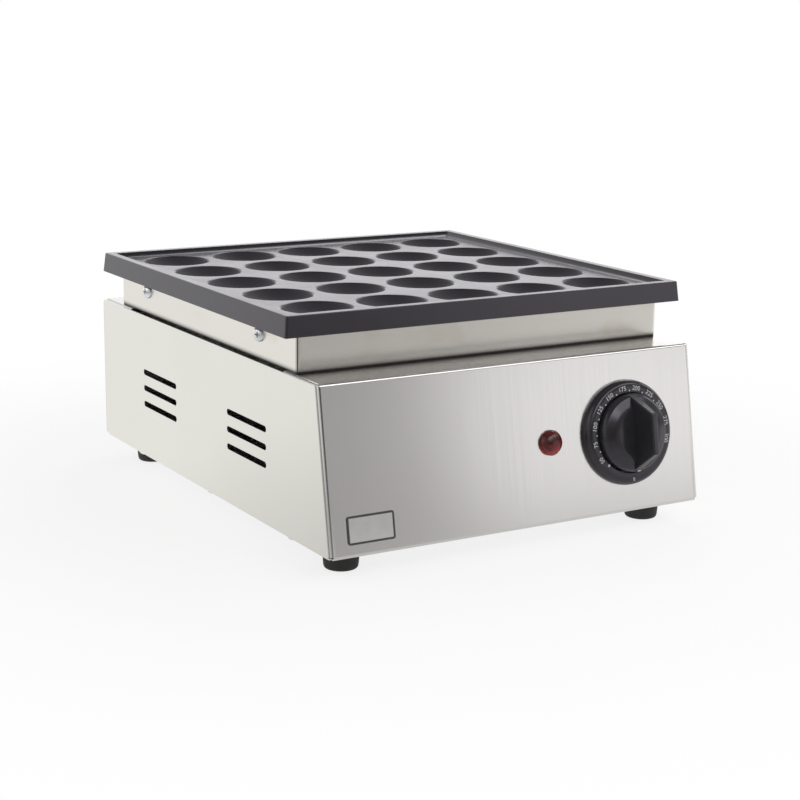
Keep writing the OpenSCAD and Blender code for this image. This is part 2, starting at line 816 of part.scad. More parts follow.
module heating_element() {
    ends = [leg_x[0], leg_x[3]];
    front = plate_y - leg_half;
    turn_front = front - leg_gap / 2;
    turn_back = plate_y + leg_half + leg_gap / 2;
    turn_r = leg_gap / 2 - rest_gap;
    color(DARK_STEEL) {
        tube([[ends[0], tube_end_y, tube_low_z], [ends[0], tube_end_y, tube_z],
              [leg_x[0], turn_back, tube_z], [leg_x[1], turn_back, tube_z],
              [leg_x[1], turn_front, tube_z], [leg_x[2], turn_front, tube_z],
              [leg_x[2], turn_back, tube_z], [leg_x[3], turn_back, tube_z],
              [ends[1], tube_end_y, tube_z], [ends[1], tube_end_y, tube_low_z]],
             tube_d, [0, tube_end_r, turn_r, turn_r, turn_r, turn_r, turn_r, turn_r, tube_end_r, 0],
             tube_sides, tube_steps);
        for (x = ends) translate([x, tube_end_y, pin_z]) cylinder(d = pin_d, h = pin_l, $fn = tube_sides);
    }
}
module element_clamp_bars() {
    color(DARK_STEEL) difference() {
        for (y = bar_y) block([-bar_l / 2, y - bar_w / 2, bar_z], [bar_l / 2, y + bar_w / 2, bar_z + bar_t]);
        at_clamp_studs(bar_z) hole(M6, 2 * bar_t);
    }
}
module clamp_studs() {
    low = bar_z - M6[4] - thread_past;
    color(ZINC) at_clamp_studs(low) stud(M6, ceiling_z + stud_depth - low);
}
module clamp_nuts() {
    color(ZINC) at_clamp_studs(bar_z - M6[4]) nut(M6);
}
module sensor_bulb() {
    color(BRASS) translate([0, plate_y + bulb_l / 2, bulb_z]) rotate([90, 0, 0])
        cylinder(d = bulb_d, h = bulb_l);
}
module bulb_pads() {
    color(DARK_STEEL) for (y = bar_y)
        block([-pad_w / 2, y - pad_w / 2, bar_z + bar_t], [pad_w / 2, y + pad_w / 2, bar_z + bar_t + pad_h]);
}

// Controls
module thermostat_body() {
    back = -sheet - thermostat_l;
    half = thermostat_w / 2;
    color(WHITE) on_front(dial_x, control_drop) difference() {
        union() {
            block([-half, -half, back], [half, half, -sheet]);
            for (x = tab_x)
                block([x - tab_w / 2, -tab_t / 2, back - tab_l], [x + tab_w / 2, tab_t / 2, back + over]);
        }
        translate([0, 0, -sheet - thermostat_bore])
            cylinder(d = spindle_d + 2 * spindle_gap, h = thermostat_bore + over);
        for (s = [-1, 1]) translate([s * thermostat_screw_x, 0, -sheet]) hole(M4, thermostat_screw_l + over);
    }
}
module thermostat_screws() {
    shank = bezel_base + sheet + thermostat_screw_l;
    color(ZINC) on_front(dial_x, control_drop)
        for (s = [-1, 1]) translate([s * thermostat_screw_x, 0, bezel_base]) {
            cylinder(d = screw_low_d, h = screw_low_h);
            translate([0, 0, -shank]) cylinder(d = M4[0], h = shank);
        }
}
module spindle_section(gap) {
    difference() {
        circle(d = spindle_d + 2 * gap);
        translate([spindle_flat + gap, -spindle_d]) square(2 * spindle_d);
    }
}
module thermostat_spindle() {
    low = -sheet - thermostat_bore + over;
    color(BRASS) on_front(dial_x, control_drop) {
        translate([0, 0, low]) cylinder(d = spindle_d, h = bezel_base - low);
        translate([0, 0, bezel_base]) linear_extrude(spindle_top - bezel_base) spindle_section(0);
    }
}
module dial_bezel() {
    r = bezel_d / 2;
    hole_r = spindle_hole_d / 2;
    color(BLACK) on_front(dial_x, control_drop) difference() {
        rotate_extrude()
            polygon([[hole_r, 0], [r, 0], [r, bezel_base], [r - bezel_lean, bezel_h - bezel_round],
                     [r - bezel_lean - bezel_round, bezel_h], [bezel_in + bezel_round, bezel_h],
                     [bezel_in, bezel_h - bezel_round], [bezel_in, bezel_base], [hole_r, bezel_base]]);
        for (s = [-1, 1]) translate([s * thermostat_screw_x, 0, 0]) hole(M4, 2 * bezel_base);
    }
}
module grip() {
    half = grip_l / 2;
    foot = disc_z - over;
    intersection() {
        along_y(-half, half)
            polygon([[-grip_w / 2, foot], [grip_w / 2, foot],
                     [grip_top_w / 2, knob_top], [-grip_top_w / 2, knob_top]]);
        along_x(-grip_w, grip_w)
            polygon([[-half, foot], [half, foot],
                     [half - grip_slope, knob_top], [grip_slope - half, knob_top]]);
        cylinder(r = disc_r - disc_run, h = knob_top + over);
    }
}
module control_knob() {
    color(BLACK) on_front(dial_x, control_drop) difference() {
        union() {
            rotate_extrude()
                polygon([[0, hub_under], [hub_r, hub_under], [hub_r, disc_under], [disc_r, disc_under],
                         [disc_r, disc_z - disc_fall], [disc_r - disc_run, disc_z], [0, disc_z]]);
            grip();
        }
        translate([0, 0, hub_under - over]) linear_extrude(spindle_top + over / 2 - hub_under + over)
            spindle_section(spindle_gap);
    }
}
module indicator_lens() {
    crown = lens_h - lens_rim;
    r = lens_d / 2;
    color([0.65, 0.06, 0.08]) on_front(lamp_x, control_drop)
        rotate_extrude()
            polygon(concat([[0, 0], [r, 0]],
                           [for (i = [0:edge_steps + 1])
                               let (a = 90 * i / (edge_steps + 1)) [r * cos(a), lens_rim + crown * sin(a)]]));
}
module indicator_body() {
    back = -sheet - lamp_l;
    color(WHITE) on_front(lamp_x, control_drop) {
        translate([0, 0, back]) cylinder(d = lamp_neck_d, h = -back);
        for (s = [-1, 1])
            block([s * lamp_tab_x - tab_t / 2, -tab_w / 3, back - tab_l],
                  [s * lamp_tab_x + tab_t / 2, tab_w / 3, back + over]);
    }
}
module indicator_nut() {
    color(BLACK) on_front(lamp_x, control_drop) translate([0, 0, -sheet - lamp_nut_h]) difference() {
        hexagon(lamp_nut_w, lamp_nut_h);
        translate([0, 0, -over]) cylinder(d = lamp_neck_d + 2 * hole_gap, h = lamp_nut_h + 2 * over);
    }
}

// Cable gland: the body passes through the rear panel, the dome nut squeezes the seal on the cable
module at_gland() {
    on_rear(gland_x, base_z + gland_z) children();
}
gland_end = gland_out - seal_l - gland_wall;
dome_r = gland_d / 2 + gland_wall;
module gland_body() {
    color(BLACK) at_gland() difference() {
        union() {
            hexagon(gland_hex, gland_flange);
            translate([0, 0, -sheet - gland_inside])
                cylinder(d = gland_d, h = sheet + gland_inside + gland_end);
        }
        translate([0, 0, -sheet - gland_inside - over])
            cylinder(d = cable_d + 2, h = gland_inside + sheet + gland_end + 2 * over);
    }
}
module gland_seal() {
    color(RUBBER) at_gland() translate([0, 0, gland_end]) difference() {
        cylinder(d = gland_d, h = seal_l);
        translate([0, 0, -over]) cylinder(d = cable_d, h = seal_l + 2 * over);
    }
}
module gland_dome_nut() {
    color(BLACK) at_gland() difference() {
        translate([0, 0, gland_flange]) cylinder(r = dome_r, h = gland_out - gland_flange);
        translate([0, 0, gland_flange - over])
            cylinder(d = gland_d + 2 * hole_gap, h = gland_end + seal_l - gland_flange + over);
        cylinder(d = cable_d + 2, h = gland_out + over);
    }
}
module gland_lock_nut() {
    color(BLACK) at_gland() translate([0, 0, -sheet - gland_nut_h]) difference() {
        hexagon(gland_hex, gland_nut_h);
        translate([0, 0, -over]) cylinder(d = gland_d + 2 * hole_gap, h = gland_nut_h + 2 * over);
    }
}

// Terminal block and earth
module terminal_block() {
    half_w = block_w / 2;
    color(WHITE) difference() {
        block([gland_x - half_w, block_y - block_d / 2, floor_z],
              [gland_x + half_w, block_y + block_d / 2, floor_z + block_h]);
        for (x = block_way_x) {
            translate([x, block_y, floor_z + block_hole_z]) rotate([90, 0, 0])
                cylinder(d = wire_d + 2 * hole_gap, h = block_d + over, center = true);
            translate([x, block_y, floor_z + block_h - clamp_screw_l])
                cylinder(d = clamp_screw_d + 2 * hole_gap, h = clamp_screw_l + over);
        }
        at_block_screws(floor_z + block_h / 2) hole(M3, block_h);
    }
}
module terminal_block_screws() {
    color(ZINC) at_block_screws(floor_z + block_h) pan_screw(M3, block_h + sheet + M3[4] + thread_past);
}
module terminal_block_nuts() {
    color(ZINC) at_block_screws(floor_z - sheet - M3[4]) nut(M3);
}
module terminal_clamp_screws() {
    color(BRASS) for (x = block_way_x)
        translate([x, block_y, floor_z + block_h - clamp_screw_l])
            cylinder(d = clamp_screw_d, h = clamp_screw_l - 1);
}
module earth_stud() {
    color(BRASS) translate([earth_x, earth_y, floor_z - sheet]) mirror([0, 0, 1])
        pan_screw(M5, sheet + M5[4] + 3 * thread_past);
}
module earth_nut() {
    color(BRASS) translate([earth_x, earth_y, floor_z]) nut(M5);
}

// Wires and the capillary, along routes chosen by hand
wire_sides = 8;
wire_bend = 8;
wire_steps = 3;
module wire(route, d) {
    tube(route, d, wire_bend, wire_sides, wire_steps);
}
// A point behind the front panel: across, down the panel and back from its face
function behind_front(x, drop, back) = [
    x,
    front_top_y - drop * sin(rake) + back * cos(rake),
    top_z - drop * cos(rake) - back * sin(rake)
];
tab_back = sheet + thermostat_l + tab_l + rest_gap;
lamp_back = sheet + lamp_l + tab_l + rest_gap;
way_y = block_y - block_d / 2;
way_z = floor_z + block_hole_z;
capillary_hole_y = plate_y - bulb_l / 2 - 20;
capillary_up = 14;
function block_way(i, out) = [block_way_x[i], way_y + wire_in - out, way_z];
function thermostat_tab(i, out) = behind_front(dial_x + tab_x[i], control_drop, tab_back + out);
function lamp_tab(s, out) = behind_front(lamp_x + s * lamp_tab_x, control_drop, lamp_back + out);
function element_pin(s, out) = [s * leg_x[3], tube_end_y, pin_z - rest_gap - out];
// Where the wires turn: along the right side, and over the base plate
wire_side = 21;
wire_level = 23;
wire_back_y = plate_y + 30;
wire_front_y = plate_y - 70;
side_run_x = body_w / 2 - wire_side;

module live_wire() {
    color([0.45, 0.28, 0.16]) wire([
        block_way(3, 0), block_way(3, 30),
        [side_run_x, wire_back_y, floor_z + wire_level],
        [side_run_x, wire_front_y, floor_z + wire_level + 2 * wire_d],
        thermostat_tab(2, 26), thermostat_tab(2, 0)], wire_d);
}
module switched_wire() {
    color(BLACK) wire([
        thermostat_tab(1, 0), thermostat_tab(1, 18),
        [(dial_x + leg_x[3]) / 2, tube_end_y, pin_z - wire_level],
        element_pin(1, 18), element_pin(1, 0)], wire_d);
}
module neutral_wire() {
    color([0.2, 0.35, 0.65]) wire([
        block_way(1, 0), block_way(1, 40), [lamp_x, plate_y - 30, floor_z + wire_level - 2 * wire_d],
        [leg_x[0] + wire_side, wire_front_y, floor_z + wire_level],
        element_pin(-1, 30), element_pin(-1, 0)], wire_d);
}
module lamp_live_wire() {
    color(BLACK) wire([
        thermostat_tab(0, 0), thermostat_tab(0, 16), lamp_tab(1, 18), lamp_tab(1, 0)], wire_d);
}
module lamp_neutral_wire() {
    color([0.2, 0.35, 0.65]) wire([
        block_way(2, 0), block_way(2, 60), [lamp_x + wire_side, wire_front_y, floor_z + wire_level / 2],
        lamp_tab(-1, 30), lamp_tab(-1, 0)], wire_d);
}
module earth_wire() {
    lug_z = floor_z + M5[4] / 2;
    color([0.35, 0.6, 0.2]) wire([
        block_way(0, 0), block_way(0, 16), [earth_x + 20, earth_y, lug_z],
        [earth_x + M5[3] / cos(30) / 2 + hole_gap, earth_y, lug_z]], wire_d);
}
module capillary_tube() {
    color(BRASS) wire([
        [0, plate_y - bulb_l / 2 - rest_gap, bulb_z], [0, capillary_hole_y, bulb_z],
        [0, capillary_hole_y, pan_z - wire_level],
        [dial_x - wire_side, plate_y - 120, pan_z - 2 * wire_level],
        behind_front(dial_x + tab_w, control_drop - capillary_up, tab_back + 12),
        behind_front(dial_x + tab_w, control_drop - capillary_up, sheet + thermostat_l + rest_gap)],
        capillary_d);
}

griddle_plate();
collar();
collar_side_screws();
front_panel();
rear_panel();
left_side_panel();
right_side_panel();
base_plate();
foot_front_left();
foot_front_right();
foot_rear_left();
foot_rear_right();
foot_studs();
foot_nuts();
base_screws();
base_nuts();
rear_panel_screws();
rear_panel_nuts();
collar_flange_screws();
collar_flange_nuts();
heat_shield_pan();
insulation_board();
heating_element();
element_clamp_bars();
clamp_studs();
clamp_nuts();
sensor_bulb();
bulb_pads();
capillary_tube();
thermostat_body();
thermostat_screws();
thermostat_spindle();
control_knob();
dial_bezel();
indicator_lens();
indicator_body();
indicator_nut();
badge_plate();
gland_body();
gland_seal();
gland_dome_nut();
gland_lock_nut();
terminal_block();
terminal_block_screws();
terminal_block_nuts();
terminal_clamp_screws();
earth_stud();
earth_nut();
live_wire();
switched_wire();
neutral_wire();
lamp_live_wire();
lamp_neutral_wire();
earth_wire();
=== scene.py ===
# %% [markdown]
# # Dressing a countertop mini-pancake griddle
# The object is a commercial griddle: a black cast plate with twenty-five dished cups on a stainless
# collar, above a folded stainless casing with a raked front, a temperature dial and a red light.
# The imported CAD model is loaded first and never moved. Everything below is in metres, in its frame:
# +Z is up, the front faces -Y, and the floor is at zero.

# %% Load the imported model
import json
import math

import bmesh
import bpy
from mathutils import Matrix, Vector

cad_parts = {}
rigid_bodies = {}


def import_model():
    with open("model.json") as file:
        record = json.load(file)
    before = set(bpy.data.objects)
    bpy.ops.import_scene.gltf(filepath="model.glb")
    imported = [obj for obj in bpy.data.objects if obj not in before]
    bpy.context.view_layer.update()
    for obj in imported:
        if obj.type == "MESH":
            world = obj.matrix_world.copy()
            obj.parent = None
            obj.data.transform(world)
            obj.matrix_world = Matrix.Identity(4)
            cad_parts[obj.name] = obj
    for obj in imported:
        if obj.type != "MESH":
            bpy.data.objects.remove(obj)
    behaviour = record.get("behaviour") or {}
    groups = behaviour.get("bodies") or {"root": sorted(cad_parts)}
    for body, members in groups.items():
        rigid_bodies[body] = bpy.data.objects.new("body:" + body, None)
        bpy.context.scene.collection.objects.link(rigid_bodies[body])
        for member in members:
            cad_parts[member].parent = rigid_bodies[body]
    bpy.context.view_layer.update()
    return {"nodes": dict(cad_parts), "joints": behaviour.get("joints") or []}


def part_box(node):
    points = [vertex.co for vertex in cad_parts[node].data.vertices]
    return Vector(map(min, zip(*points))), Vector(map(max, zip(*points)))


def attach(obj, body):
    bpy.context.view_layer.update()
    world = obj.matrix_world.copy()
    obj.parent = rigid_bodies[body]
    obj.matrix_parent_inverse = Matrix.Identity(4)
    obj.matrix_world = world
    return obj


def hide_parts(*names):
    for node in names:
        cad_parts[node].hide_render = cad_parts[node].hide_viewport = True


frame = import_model()
nodes = frame["nodes"]
MM = 0.001

# %% [markdown]
# ## The camera
# The photograph was taken from the front left, a little above the plate, with a long lens. The angles,
# the distance and the focal length below put every cup, edge and foot where the photograph has them.
# A camera could be turned by eye, but building its three axes keeps the small roll exact.

# %% Place the camera
PHOTO_SIDE = 800
FOCAL_PIXELS = 1789.141
SENSOR = 36.0
AZIMUTH = math.radians(-30.824)
ELEVATION = math.radians(12.984)
ROLL = math.radians(0.751)
DISTANCE = 1.3422
AIM_RIGHT = 0.014645
AIM_UP = -0.096479
RIM_H = 3.8 * MM

plate_low, plate_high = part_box("griddle_plate")
plate_mid = (plate_low + plate_high) / 2
cup_z = plate_high.z - RIM_H
back = Vector((math.sin(AZIMUTH) * math.cos(ELEVATION),
               -math.cos(AZIMUTH) * math.cos(ELEVATION),
               math.sin(ELEVATION)))
level = Vector((math.cos(AZIMUTH), math.sin(AZIMUTH), 0))
upright = back.cross(level)
right = level * math.cos(ROLL) + upright * math.sin(ROLL)
up = upright * math.cos(ROLL) - level * math.sin(ROLL)
aim = Vector((plate_mid.x, plate_mid.y, cup_z)) + right * AIM_RIGHT + up * AIM_UP
axes = Matrix((right, up, back)).transposed()
bpy.ops.object.camera_add(location=aim + back * DISTANCE, rotation=axes.to_euler())
camera = bpy.context.object
camera.name = "photo_camera"
camera.data.sensor_width = SENSOR
camera.data.lens = SENSOR * FOCAL_PIXELS / PHOTO_SIDE
bpy.context.scene.camera = camera
print("Lens in mm:", round(camera.data.lens, 2))

# %% [markdown]
# ## Helpers for node materials
# Every finish below is a small tree of nodes. One helper adds a node, sets its options and joins its
# inputs, so that a tree reads from top to bottom. Patterns use Object coordinates, which are metres in
# the shared frame, so a grain has the same size on every piece.

# %% Node helpers
def put(tree, kind, inputs=None, **options):
    """Adds a shader node; an input is a number, a colour or another node's output."""
    made = tree.nodes.new("ShaderNode" + kind)
    for name, value in options.items():
        setattr(made, name, value)
    for name, value in (inputs or {}).items():
        if isinstance(value, bpy.types.NodeSocket):
            tree.links.new(value, made.inputs[name])
        else:
            made.inputs[name].default_value = value
    return made


def finish(name, **sockets):
    """A new material and its shader, with plain values set on the shader's own sockets."""
    material = bpy.data.materials.new(name)
    material.use_nodes = True
    tree = material.node_tree
    tree.nodes.clear()
    shader = put(tree, "BsdfPrincipled", {k.replace("_", " "): v for k, v in sockets.items()})
    put(tree, "OutputMaterial", {"Surface": shader.outputs[0]})
    return material, tree, shader


def grain(tree, stretch, detail=3.0, rough=0.55):
    """Noise on Object coordinates; stretch is how many grains there are in a metre along each axis."""
    place = put(tree, "TexCoord")
    turned = put(tree, "Mapping", {"Vector": place.outputs["Object"], "Scale": stretch})
    noise = put(tree, "TexNoise", {"Vector": turned.outputs[0], "Scale": 1.0, "Detail": detail,
                                   "Roughness": rough})
    return noise.outputs[0]


def between(tree, value, low, high, start=0.3, end=0.7, soft=False):
    """Maps a value, such as a noise, to a range of numbers, with soft ends where asked."""
    return put(tree, "MapRange", {"Value": value, "From Min": start, "From Max": end, "To Min": low,
                                  "To Max": high},
               interpolation_type="SMOOTHSTEP" if soft else "LINEAR").outputs[0]


def maths(tree, operation, *values):
    """A sum, product or other operation on numbers and other nodes' outputs."""
    return put(tree, "Math", dict(enumerate(values)), operation=operation).outputs[0]


def shade(tree, value, dark, light, start=0.3, end=0.7):
    """Maps a noise value to a range of colours."""
    ramp = put(tree, "ValToRGB", {"Fac": value})
    first, last = ramp.color_ramp.elements
    first.position, first.color = start, (*dark, 1)
    last.position, last.color = end, (*light, 1)
    return ramp.outputs[0]


def coloured(tree, shader, value, dark, light, start=0.3, end=0.7):
    """Lets a shader's colour follow a value."""
    tree.links.new(shade(tree, value, dark, light, start, end), shader.inputs["Base Color"])


def glossed(tree, shader, value, low, high):
    """Lets a shader's roughness follow a value."""
    tree.links.new(between(tree, value, low, high), shader.inputs["Roughness"])


def relief(tree, shader, height, depth, strength=1.0):
    """Bump of that depth in metres."""
    bump = put(tree, "Bump", {"Height": height, "Distance": depth, "Strength": strength})
    tree.links.new(bump.outputs[0], shader.inputs["Normal"])


print("Node helpers ready")

# %% [markdown]
# ## The studio
# The photograph shows the griddle on white. To the camera the floor is white paper that keeps a faint,
# soft shadow and fades to the white of the surround, so that no horizon shows. Metal shows what stands
# around it, so mirror-like rays see another room: a floor that is bright behind and on the right and
# greyer in front, a lit backdrop behind the object, a small glow at the front right and a dark side
# near the camera. That gives the sides, the plate's bloom and the collar their tones.

# %% Studio helpers
def towards(tree, where, way):
    """How far a place or a ray lies along a direction, with -1 to 1 mapped to 0 to 1."""
    along = put(tree, "VectorMath", {0: where, 1: way}, operation="DOT_PRODUCT")
    return between(tree, along.outputs["Value"], 0.0, 1.0, start=-1.0, end=1.0)


def by_ray(tree, for_camera, for_mirrors, for_light):
    """Picks one of three shaders: for the camera, for mirror-like rays or for all other rays."""
    ray = put(tree, "LightPath").outputs
    shiny = maths(tree, "MAXIMUM", ray["Is Glossy Ray"], ray["Is Transmission Ray"])
    bounced = put(tree, "MixShader", {0: shiny, 1: for_light.outputs[0], 2: for_mirrors.outputs[0]})
    whole = put(tree, "MixShader", {0: ray["Is Camera Ray"], 1: bounced.outputs[0],
                                    2: for_camera.outputs[0]})
    return whole.outputs[0]


WHITE = (1, 1, 1, 1)
print("Studio helpers ready")

# %% Floor
FLOOR_SIDE = 14.0
FLOOR_NEAR = 0.22
FLOOR_FAR = 0.62
PAPER_WHITE = 0.80
PAPER_DARK = (0.90, 0.90, 0.90)
PAPER_LIGHT = (0.93, 0.93, 0.925)
PAPER_FIBRE = (60, 60, 60)
FLOOR_BRIGHT_WAY = Vector((0.55, 0.83, 0))
FLOOR_GREY = (0.46, 0.452, 0.446)
FLOOR_BRIGHT = (0.98, 0.98, 0.97)
FLOOR_GREY_TO, FLOOR_BRIGHT_FROM = 0.25, 0.51

bpy.ops.mesh.primitive_plane_add(size=FLOOR_SIDE, location=(0, 0, 0))
floor = bpy.context.object
floor.name = "studio_floor"
paper = bpy.data.materials.new("pale_floor")
paper.use_nodes = True
tree = paper.node_tree
tree.nodes.clear()
spot = put(tree, "TexCoord").outputs["Object"]
away = put(tree, "VectorMath", {0: spot}, operation="LENGTH")
fade = between(tree, away.outputs["Value"], PAPER_WHITE, 1.0, FLOOR_NEAR, FLOOR_FAR, soft=True)
fibre = grain(tree, PAPER_FIBRE)
matt = put(tree, "BsdfDiffuse", {"Color": shade(tree, fibre, PAPER_DARK, PAPER_LIGHT)})
glow = put(tree, "Emission", {"Color": WHITE, "Strength": 1.0})
direct = put(tree, "MixShader", {0: fade, 1: matt.outputs[0], 2: glow.outputs[0]})
tone = towards(tree, spot, FLOOR_BRIGHT_WAY)
mirrored = put(tree, "Emission", {"Color": shade(tree, tone, FLOOR_GREY, FLOOR_BRIGHT,
                                                 FLOOR_GREY_TO, FLOOR_BRIGHT_FROM)})
put(tree, "OutputMaterial", {"Surface": by_ray(tree, direct, mirrored, matt)})
floor.data.materials.append(paper)
print("Floor side in metres:", FLOOR_SIDE)

# %% Surround
WALLS_BRIGHT_WAY = Vector((-0.5, 0.87, 0))
WALLS_GREY = (0.26, 0.257, 0.26)
WALLS_BRIGHT = (0.94, 0.94, 0.94)
WALLS_GREY_TO, WALLS_BRIGHT_FROM = 0.10, 0.70
WALLS_END, CEILING_FROM = 0.70, 0.90
CEILING_LEVEL = 0.28
BACKDROP_WAY = Vector((0.47, 0.88, 0)).normalized()
BACKDROP_SPREAD = (0.70, 0.95)
BACKDROP_HEIGHTS = (0.565, 0.635)
BACKDROP_GLOW = 0.85
FRONT_WAY = Vector((0.42, -0.908, 0))
FRONT_SPREAD = (0.95, 0.988)
FRONT_HEIGHTS = (0.55, 0.59)
FRONT_GLOW = 0.23
GLOW_TINT = (0.99, 0.97, 1, 1)
DARK_WAY = Vector((-0.26, -0.966, 0))
DARK_SPREAD = (0.93, 0.975)
DARK_HEIGHTS = (0.58, 0.68)
DARK_SHARE = 0.85
SOFT_LEVEL = 0.45

world = bpy.data.worlds.new("studio_surround")
bpy.context.scene.world = world
world.use_nodes = True
tree = world.node_tree
tree.nodes.clear()
look = put(tree, "TexCoord").outputs["Generated"]
height = towards(tree, look, Vector((0, 0, 1)))


def one_side(way, spread, heights, most):
    """A value that is highest on one side of the surround, up to a height, with soft edges."""
    side = between(tree, towards(tree, look, way), 0.0, most, *spread, soft=True)
    low = between(tree, height, 1.0, 0.0, *heights, soft=True)
    return maths(tree, "MULTIPLY", side, low)


walls = shade(tree, towards(tree, look, WALLS_BRIGHT_WAY), WALLS_GREY, WALLS_BRIGHT,
              WALLS_GREY_TO, WALLS_BRIGHT_FROM)
behind = one_side(BACKDROP_WAY, BACKDROP_SPREAD, BACKDROP_HEIGHTS, BACKDROP_GLOW)
ahead = one_side(FRONT_WAY, FRONT_SPREAD, FRONT_HEIGHTS, FRONT_GLOW)
dark_side = one_side(DARK_WAY, DARK_SPREAD, DARK_HEIGHTS, DARK_SHARE)
glow = maths(tree, "ADD", behind, ahead)
room = between(tree, height, 1.0, CEILING_LEVEL, WALLS_END, CEILING_FROM, soft=True)
walls_level = maths(tree, "MULTIPLY", room, maths(tree, "SUBTRACT", 1.0, dark_side))
soft = put(tree, "Background", {"Color": WHITE, "Strength": SOFT_LEVEL})
mirror = put(tree, "Background", {"Color": walls, "Strength": walls_level})
backdrop = put(tree, "Background", {"Color": GLOW_TINT, "Strength": glow})
reflected = put(tree, "AddShader", {0: mirror.outputs[0], 1: backdrop.outputs[0]})
plain = put(tree, "Background", {"Color": WHITE, "Strength": 1.0})
put(tree, "OutputWorld", {"Surface": by_ray(tree, plain, reflected, soft)})
bpy.context.scene.view_settings.view_transform = "Standard"
print("Surround made")

# %% [markdown]
# ## Softboxes
# Six large, soft lamps light the griddle: one above and behind, one on each side, a long one and a
# small one in front, and a low card that lifts the front panel.

# %% Place the softboxes
OBJECT_MID = Vector((0, 0, 0.08))


def softbox(name, where, width, height, power):
    """An area lamp at a place, turned towards the object."""
    bpy.ops.object.light_add(type="AREA", location=where)
    lamp = bpy.context.object
    lamp.name = name
    lamp.rotation_euler = (OBJECT_MID - Vector(where)).to_track_quat("-Z", "Y").to_euler()
    lamp.data.shape = "RECTANGLE"
    lamp.data.size = width
    lamp.data.size_y = height
    lamp.data.energy = power


softbox("key_softbox", (1.15, 1.20, 1.65), width=1.0, height=1.0, power=9)
softbox("right_softbox", (1.9, -0.1, 0.75), width=0.9, height=0.9, power=4.5)
softbox("front_softbox", (0.80, -1.40, 1.35), width=1.9, height=0.7, power=11)
softbox("left_fill", (-1.8, 0.3, 1.4), width=1.4, height=1.4, power=7)
softbox("front_card", (1.17, -1.28, 0.20), width=0.95, height=0.38, power=0.90)
softbox("small_softbox", (-0.05, -1.50, 0.98), width=0.75, height=0.5, power=3)

# %% [markdown]
# ## Brushed stainless steel
# The casing is thin stainless sheet with a fine brushed finish. On the front panel the lines run up and
# down, on the other panels and the collar they run along. Brushing is noise stretched more than a hundred
# times along the lines: it varies the roughness and adds a very shallow relief, and a second, large and
# faint noise stands for the slight unevenness of rolled sheet.

# %% Make the stainless finishes
BRUSH_DEPTH = 0.0000006
BRUSH_UNEVEN = 0.015
SHEET_CLOUD = (9, 9, 7)
CLOUD_DIM = 0.965
UPRIGHT_LINES = (900, 6, 6)
LEVEL_LINES = (6, 6, 900)
COLLAR_LINES = (6, 6, 700)
# All the casing's sheet is the same steel, but the front and rear sheet are painted darker and the side
# sheets lighter: painted shade and painted light for how bright each side looks.
PAINTED_SHADE_STEEL = (0.66, 0.648, 0.634)
PAINTED_LIGHT_STEEL = (0.80, 0.793, 0.745)
COLLAR_STEEL = (0.77, 0.75, 0.705)


def brushed(name, colour, roughness, stretch):
    """Stainless sheet whose brush lines follow the axes with the smallest stretch."""
    material, tree, shader = finish(name, Metallic=1.0)
    lines = grain(tree, stretch, detail=2.0, rough=0.5)
    cloud = grain(tree, SHEET_CLOUD, detail=2.0, rough=0.5)
    dark = tuple(c * CLOUD_DIM for c in colour)
    coloured(tree, shader, cloud, dark, colour, start=0.25, end=0.75)
    glossed(tree, shader, lines, roughness - BRUSH_UNEVEN, roughness + BRUSH_UNEVEN)
    relief(tree, shader, lines, BRUSH_DEPTH, strength=0.5)
    return material


front_steel_shaded = brushed("stainless_upright_painted_shade", PAINTED_SHADE_STEEL, roughness=0.20, stretch=UPRIGHT_LINES)
side_steel_lit = brushed("stainless_along_painted_light", PAINTED_LIGHT_STEEL, roughness=0.30, stretch=LEVEL_LINES)
rear_steel_shaded = brushed("stainless_across_painted_shade", PAINTED_SHADE_STEEL, roughness=0.28, stretch=LEVEL_LINES)
collar_steel = brushed("stainless_collar", COLLAR_STEEL, roughness=0.22, stretch=COLLAR_LINES)
print("Stainless finishes:", [m.name for m in (front_steel_shaded, side_steel_lit, rear_steel_shaded, collar_steel)])

# %% [markdown]
# ## Painted shade at the collar's foot, and dark lines down its corners
# Where the collar stands on the ledge, a dark line is painted into its colour: painted shade of the
# crease, fading up the wall. Down its four upright corners runs a thin dark line as well. A strip of mesh
# could stand for it, but a colour that follows the distance from the edge needs no geometry. The collar is
# the same on all four sides, so absolute distances from its middle find all corners at once. A faint straw
# tint marks where it gets hot.

# %% Paint the shade at the collar's foot and the lines down its corners
SEAM = 1.1 * MM
CORNER_DARK, CORNER_LINE_END = 0.2 * SEAM, 0.8 * SEAM
FOOT_SHADE_FULL, FOOT_SHADE_END = 0.9 * SEAM, 4.5 * SEAM
EDGE_FADE = 2.2
SEAM_AND_SHADE_DARK = (0.05, 0.045, 0.042, 1)
HEAT_TINT = (0.62, 0.55, 0.44, 1)
HEAT_CLOUD = (26, 26, 34)
HEAT_MOST = 0.30


def folded_about(tree, middle):
    """Object coordinates as absolute distances from a middle."""
    spot = put(tree, "TexCoord")
    offset = put(tree, "VectorMath", {0: spot.outputs["Object"], 1: middle}, operation="SUBTRACT")
    return put(tree, "VectorMath", {0: offset.outputs[0]}, operation="ABSOLUTE").outputs[0]


def height_above_floor(tree):
    """The Z coordinate of a place on a piece."""
    spot = put(tree, "TexCoord")
    return put(tree, "SeparateXYZ", {0: spot.outputs["Object"]}).outputs["Z"]


